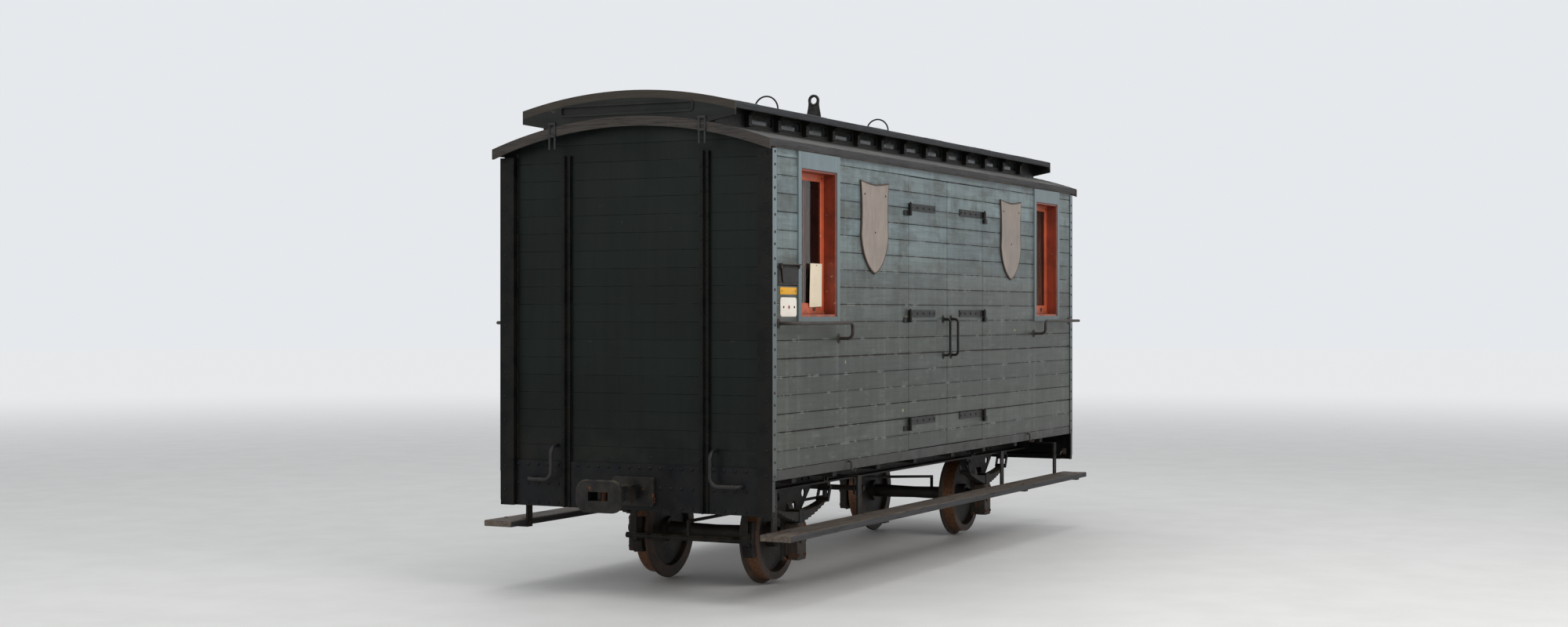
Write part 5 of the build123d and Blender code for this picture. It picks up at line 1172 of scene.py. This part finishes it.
def canvas_laps():
    """Laps of the roof canvas with their rows of tacks."""
    bm = bmesh.new()
    half, h = 0.0225, 0.0016

    def strip(axis, r, y0, y1, x):
        def lay(dx, y, d):
            s, c = y / r, math.sqrt(1 - (y / r) ** 2)
            return (x + dx, s * (r + d), axis + c * (r + d))

        rings = []
        for i in range(41):
            y = y0 + (y1 - y0) * i / 40
            lift = 0.0006 * noise.noise(Vector((x, y * 6, 2)))
            section = ((-half, -0.001), (-half, h * 0.3), (-half + 0.004, h),
                       (half - 0.003, h + lift), (half, h * 0.2), (half, -0.001))
            rings.append([lay(dx, y, d) for dx, d in section])
        skin(bm, rings)
        for y in every(0.06, y0 + 0.02, y1 - 0.01):
            for dx in (-half + 0.008, half - 0.008):
                dome(bm, lay(dx, y, h), (0, y / r, math.sqrt(1 - (y / r) ** 2)), 0.0035, 0.0014, 6, 1)

    for i in range(6):
        x = -2.5 + i + 0.02 * math.sin(5 * i)
        strip(TOP_AXIS, TOP_R, -0.742, 0.742, x)
        strip(ROOF_AXIS, ROOF_R, -0.978, -0.632, x + 0.3)
        strip(ROOF_AXIS, ROOF_R, 0.632, 0.978, x + 0.3)
    finish_piece("canvas_laps", bm, [CANVAS, SCREW_IRON])


def ring_cheeks():
    """Riveted cheeks with a notch on both faces of the ring bracket, and its round ring."""
    bm = bmesh.new()
    crown = TOP_AXIS + TOP_R
    rim = [(-0.038, 0.0), (-0.048, 0.085), (-0.038, 0.138), (-0.014, 0.148)]
    outline = rim + [(0.0, 0.104)] + [(-y, z) for y, z in reversed(rim)]
    for side in (-1.0, 1.0):
        x0 = -0.19 + side * 0.0062
        rings = []
        for k, d in ((1.0, 0.0), (1.0, 0.004), (0.94, 0.0055)):
            rings.append([(x0 + side * d, y * k, crown + 0.08 + (z - 0.08) * (k if z > 0 else 1.0))
                          for y, z in outline])
        skin(bm, rings)
        for y, z in ((-0.026, 0.05), (0.026, 0.05), (-0.024, 0.118), (0.024, 0.118)):
            dome(bm, (x0 + side * 0.0052, y, crown + z), (side, 0, 0), 0.006, 0.004)
    rings = []
    for t in turns(48):
        ring = [(0.0092 * math.sin(a), 0.0347 + 0.0093 * math.cos(a)) for a in turns(14)]
        rings.append([(-0.19 + dx, r * math.sin(t), crown + 0.184 + r * math.cos(t)) for dx, r in ring])
    skin(bm, rings + rings[:1], caps=False)
    bmesh.ops.remove_doubles(bm, verts=bm.verts, dist=1e-5)
    finish_piece("ring_cheeks", bm, [BLACK])


def floor_planks():
    """Worn floor planks with a core below them."""
    bm = bmesh.new()
    lo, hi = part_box("floor_boards")
    wide = (hi[1] - lo[1]) / 12
    for i in range(12):
        y0 = lo[1] + i * wide + 0.0008
        y1 = y0 + wide - 0.0016
        rings = []
        for k in range(41):
            x = lo[0] + (hi[0] - lo[0]) * k / 40
            z = hi[2] - 0.0012 * (1 + noise.noise(Vector((x * 2, i * 3.3, 0))))
            section = ((y0, lo[2] + 0.02), (y0, z - 0.003), (y0 + 0.003, z), ((y0 + y1) / 2, z - 0.0008),
                       (y1 - 0.003, z), (y1, z - 0.003), (y1, lo[2] + 0.02))
            rings.append([(x, y, h) for y, h in section])
        skin(bm, rings)
    brick(bm, lo[0], hi[0], lo[1], hi[1], lo[2], lo[2] + 0.02, 0.001)
    finish_piece("floor_planks", bm, [FLOOR_WOOD], ("floor_boards",))


def round_rect(x0, x1, z0, z1, r, count=6):
    """Points of a rectangle with round corners, in (x, z)."""
    pts = []
    corners = ((x1 - r, z0 + r, -90), (x1 - r, z1 - r, 0), (x0 + r, z1 - r, 90), (x0 + r, z0 + r, 180))
    for cx, cz, a in corners:
        for i in range(count + 1):
            t = math.radians(a + 90 * i / count)
            pts.append((cx + r * math.cos(t), cz + r * math.sin(t)))
    return pts


# Plate and label: x and z of the edges, radius of the corners, its least value, steps of a corner,
# rows of inset and height
PLATES = (
    ((-2.69, -2.47, 1.740, 1.858), 0.018, 0.004, 6,
     ((0.0, 0.0), (0.0, 0.003), (0.0015, 0.0044), (0.005, 0.0052),
      (0.012, 0.0048), (0.016, 0.0052), (0.05, 0.006))),
    ((-2.69, -2.466, 1.876, 1.920), 0.003, 0.003, 3, ((0.0, 0.0), (0.0, 0.0014), (0.0008, 0.002))),
)


def plates():
    """Domed enamel plates and thin label strips, both left blank."""
    bm = bmesh.new()
    for ex, sy in FACES:
        if not has_slot(ex, sy):
            continue
        for mat, ((x0, x1, z0, z1), r, least, count, rows) in enumerate(PLATES):
            rings = []
            for inset, d in rows:
                edges = (x0 + inset, x1 - inset, z0 + inset, z1 - inset)
                ring = round_rect(*edges, max(r - inset * 0.6, least), count)
                rings.append([quarter(ex, sy)(x, SIDE + d, z) for x, z in ring])
            skin(bm, rings, mat=mat)
    finish_piece("blank_plates", bm, [ENAMEL, YELLOW], ("side_plates",))


def arc3(a, b, c, count):
    """Points on the circle through three points of a plane, from a to c."""
    (ax, ay), (bx, by), (cx, cy) = a, b, c
    d = 2 * (ax * (by - cy) + bx * (cy - ay) + cx * (ay - by))
    aa, bb, cc = (x * x + y * y for x, y in (a, b, c))
    ux = (aa * (by - cy) + bb * (cy - ay) + cc * (ay - by)) / d
    uy = (aa * (cx - bx) + bb * (ax - cx) + cc * (bx - ax)) / d
    r = math.hypot(ax - ux, ay - uy)
    t0, tb, t1 = (math.atan2(p[1] - uy, p[0] - ux) for p in (a, b, c))
    sweep = (t1 - t0) % math.tau
    if (tb - t0) % math.tau > sweep:
        sweep -= math.tau
    angles = [t0 + sweep * i / count for i in range(count + 1)]
    return [(ux + r * math.cos(t), uy + r * math.sin(t)) for t in angles]


def shield_outline():
    """Half of the shield's edge from its tip round to the middle of its top."""
    top, tip, half = RAIL + 2.640, RAIL + 2.020, 0.23
    tall = top - tip
    flank, waist = (half * 0.62, tip + 0.14 * tall), (half * 0.97, tip + 0.42 * tall)
    neck, shoulder = (half - 0.014, top - 0.18 * tall), (half, top)
    brow, crest = (half / 2, top - 0.0117), (0.0, top - 0.018)
    lower, upper = arc3((0.0, tip), flank, waist, 16), arc3(waist, neck, shoulder, 12)
    return lower[:-1] + upper[:-1] + arc3(shoulder, brow, crest, 10)


def shield_boards():
    """Shield boards with a dark edge that is painted shade of the board's thickness, and a softly domed
    field, left blank.
    """
    bm = bmesh.new()
    half = shield_outline()
    loop = half[:-1] + [(-x, z) for x, z in reversed(half)][:-1]
    mid = RAIL + 2.37
    edge = ((0.0005, 0.0), (0.0, 0.009), (0.0015, 0.0112), (0.004, 0.0117), (0.012, 0.0117))
    field = ((0.012, 0.0117), (0.0125, 0.0108), (0.016, 0.0104), (0.06, 0.0112), (0.12, 0.0118))
    for ex, sy in FACES:
        for mat, rows in ((1, edge), (0, field)):
            rings = []
            for shrink, depth in rows:
                ring = [(x, z, 1 - shrink / math.hypot(x, z - mid)) for x, z in loop]
                rings.append([((-1.3 + x * k) * ex, (-SIDE - depth) * sy, mid + (z - mid) * k)
                              for x, z, k in ring])
            skin(bm, rings, caps=False, mat=mat)
        bm.faces.new([bm.verts.new(p) for p in rings[-1]])
    bmesh.ops.remove_doubles(bm, verts=bm.verts, dist=1e-5)
    finish_piece("shield_boards", bm, [SHIELD, SHADED_SHIELD_EDGE], ("shields",))


def notice():
    """Blank paper on a pin before the sash of the window seen, one corner curled."""
    bm = bmesh.new()
    x0, x1, z0, z1 = -2.118, -1.945, RAIL + 1.800, RAIL + 2.078
    nx, nz = 14, 18
    grid = []
    for i in range(nx + 1):
        column = []
        for k in range(nz + 1):
            u, v = i / nx, k / nz
            curl = max(0.0, u * 0.8 + (1 - v) * 0.9 - 1.05)
            y = -0.9062 - 0.012 * curl ** 1.5 + 0.0006 * math.sin(5 * v + 2 * u)
            x = x0 + (x1 - x0) * u - 0.006 * curl - 0.012 * (1 - v)
            column.append(bm.verts.new((x, y, z0 + (z1 - z0) * v + 0.008 * curl)))
        grid.append(column)
    weave(bm, grid)
    dome(bm, (-2.03, -0.9068, z1 - 0.012), (0, -1, 0), 0.004, 0.003, 8, 1)
    finish_piece("paper_notice", bm, [PAPER, BLACK])


def curtain_mesh(x0, x1, z0, z1, y, seed, ex, sy):
    """Gathered sheet hanging from its rod, its folds deeper towards the hem."""
    width = x1 - x0
    folds = 13
    nx, nz = folds * 12, 60
    rng = random.Random(seed)
    phase = [rng.uniform(-0.7, 0.7) for _ in range(folds + 2)]
    tall = [rng.uniform(0.75, 1.0) for _ in range(folds + 2)]
    bm = bmesh.new()
    grid = []
    for i in range(nx + 1):
        u = i / nx
        cell = min(int(u * folds), folds - 1)
        part = u * folds - cell
        wob = phase[cell] * (1 - part) + phase[cell + 1] * part
        size = tall[cell] * (1 - part) + tall[cell + 1] * part
        column = []
        for k in range(nz + 1):
            v = k / nz
            deep = (0.0085 + 0.0045 * v) * size
            ang = 2 * math.pi * folds * u + 0.8 * wob * v + 0.3 * math.sin(3 * v + seed)
            sway = 0.003 * math.sin(2.4 * v + seed) * v
            spread = 0.5 + (u - 0.5) * (0.94 + 0.06 * v)
            px = x0 + 0.004 + (width - 0.008) * spread + sway + 0.004 * math.sin(2 * ang)
            py = y + deep * math.sin(ang) + 0.0008 * math.sin(2.3 * ang + 4 * v)
            column.append(bm.verts.new((px * ex, py * sy, z1 - (z1 - z0) * v)))
        grid.append(column)
    weave(bm, grid)
    return bm


def curtains():
    """One curtain at each window, drawn most of the way across."""
    lo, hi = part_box("curtains")
    drop = hi[2] - lo[2] - 0.004
    for count, (ex, sy) in enumerate(FACES):
        x0 = (WIN[0] + WIN[1]) / 2 - 0.275
        bm = curtain_mesh(x0, x0 + 0.405, lo[2] + 0.004, hi[2], -0.852, 3 + count, ex, sy)
        cut = sum(f.calc_area() for f in bm.faces)
        replaced = ("curtains",) if count == 0 else ()
        piece = finish_piece(f"curtain_{count}", bm, [CLOTH], replaced)
        round(cut / drop, 3)


def dress_cad():
    """Materials of the CAD nodes that stay, and a small bevel on the square ones."""
    looks = [
        (FRAME_IRON, 0, "brake_rigging"),
        (FRAME_IRON, 0.0006, "leaf_springs"),
        (FRAME_IRON, 0.001, "footboard_brackets axle_guards brake_beams"),
        (FRAME_IRON, 0.0015, "sole_bars cross_members"),
        (FRAME_IRON, 0.002, "couplers"),
        (HEADSTOCK, 0.002, "headstocks"),
        (POSTS, 0.001, "end_posts"),
        (SIDE_PAINT, 0.002, "door_frames"),
        (CANVAS, 0, "main_roof clerestory_roof"),
        (END_FASCIA, 0.002, "roof_end_boards"),
        (CLER_PAINT, 0, "clerestory_sides"),
        (GABLE, 0.0015, "clerestory_end_boards"),
        (TOP_GLASS, 0, "clerestory_glass"),
        (GLASS, 0, "window_panes"),
        (BLACK, 0, "curtain_rods rope_guides door_pintles"),
        (BLACK, 0.0008, "letter_flap_right letter_flap_left"),
        (SLOT_IRON, 0.0008, "letter_plates"),
        (HOLD, 0, "handrails"),
        (GRAB, 0, "end_irons"),
        (BOX_IRON, 0.003, "axleboxes"),
        (WHEEL, 0, "wheelset_a wheelset_b"),
        (RUSTY, 0, "draw_pins"),
        (TABLE_WOOD, 0.003, "sorting_table"),
    ]
    looks += [(BLACK, 0, f"{name}_irons") for name, _, _ in DOORS]
    for material, width, nodes in looks:
        for node in nodes.split():
            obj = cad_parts[node]
            obj.data.materials.clear()
            obj.data.materials.append(material)
            if width:
                mod = obj.modifiers.new("edges", "BEVEL")
                mod.width = width
                mod.segments = 2
                mod.limit_method = "ANGLE"
                mod.angle_limit = math.radians(40)
                mod.harden_normals = False


stage()
light_and_camera()
side_walls()
door_leaves()
end_boards()
windows()
clerestory()
eaves()
footboards()
fasteners()
side_fittings()
iron_fittings()
canvas_laps()
ring_cheeks()
floor_planks()
plates()
shield_boards()
notice()
curtains()
dress_cad()
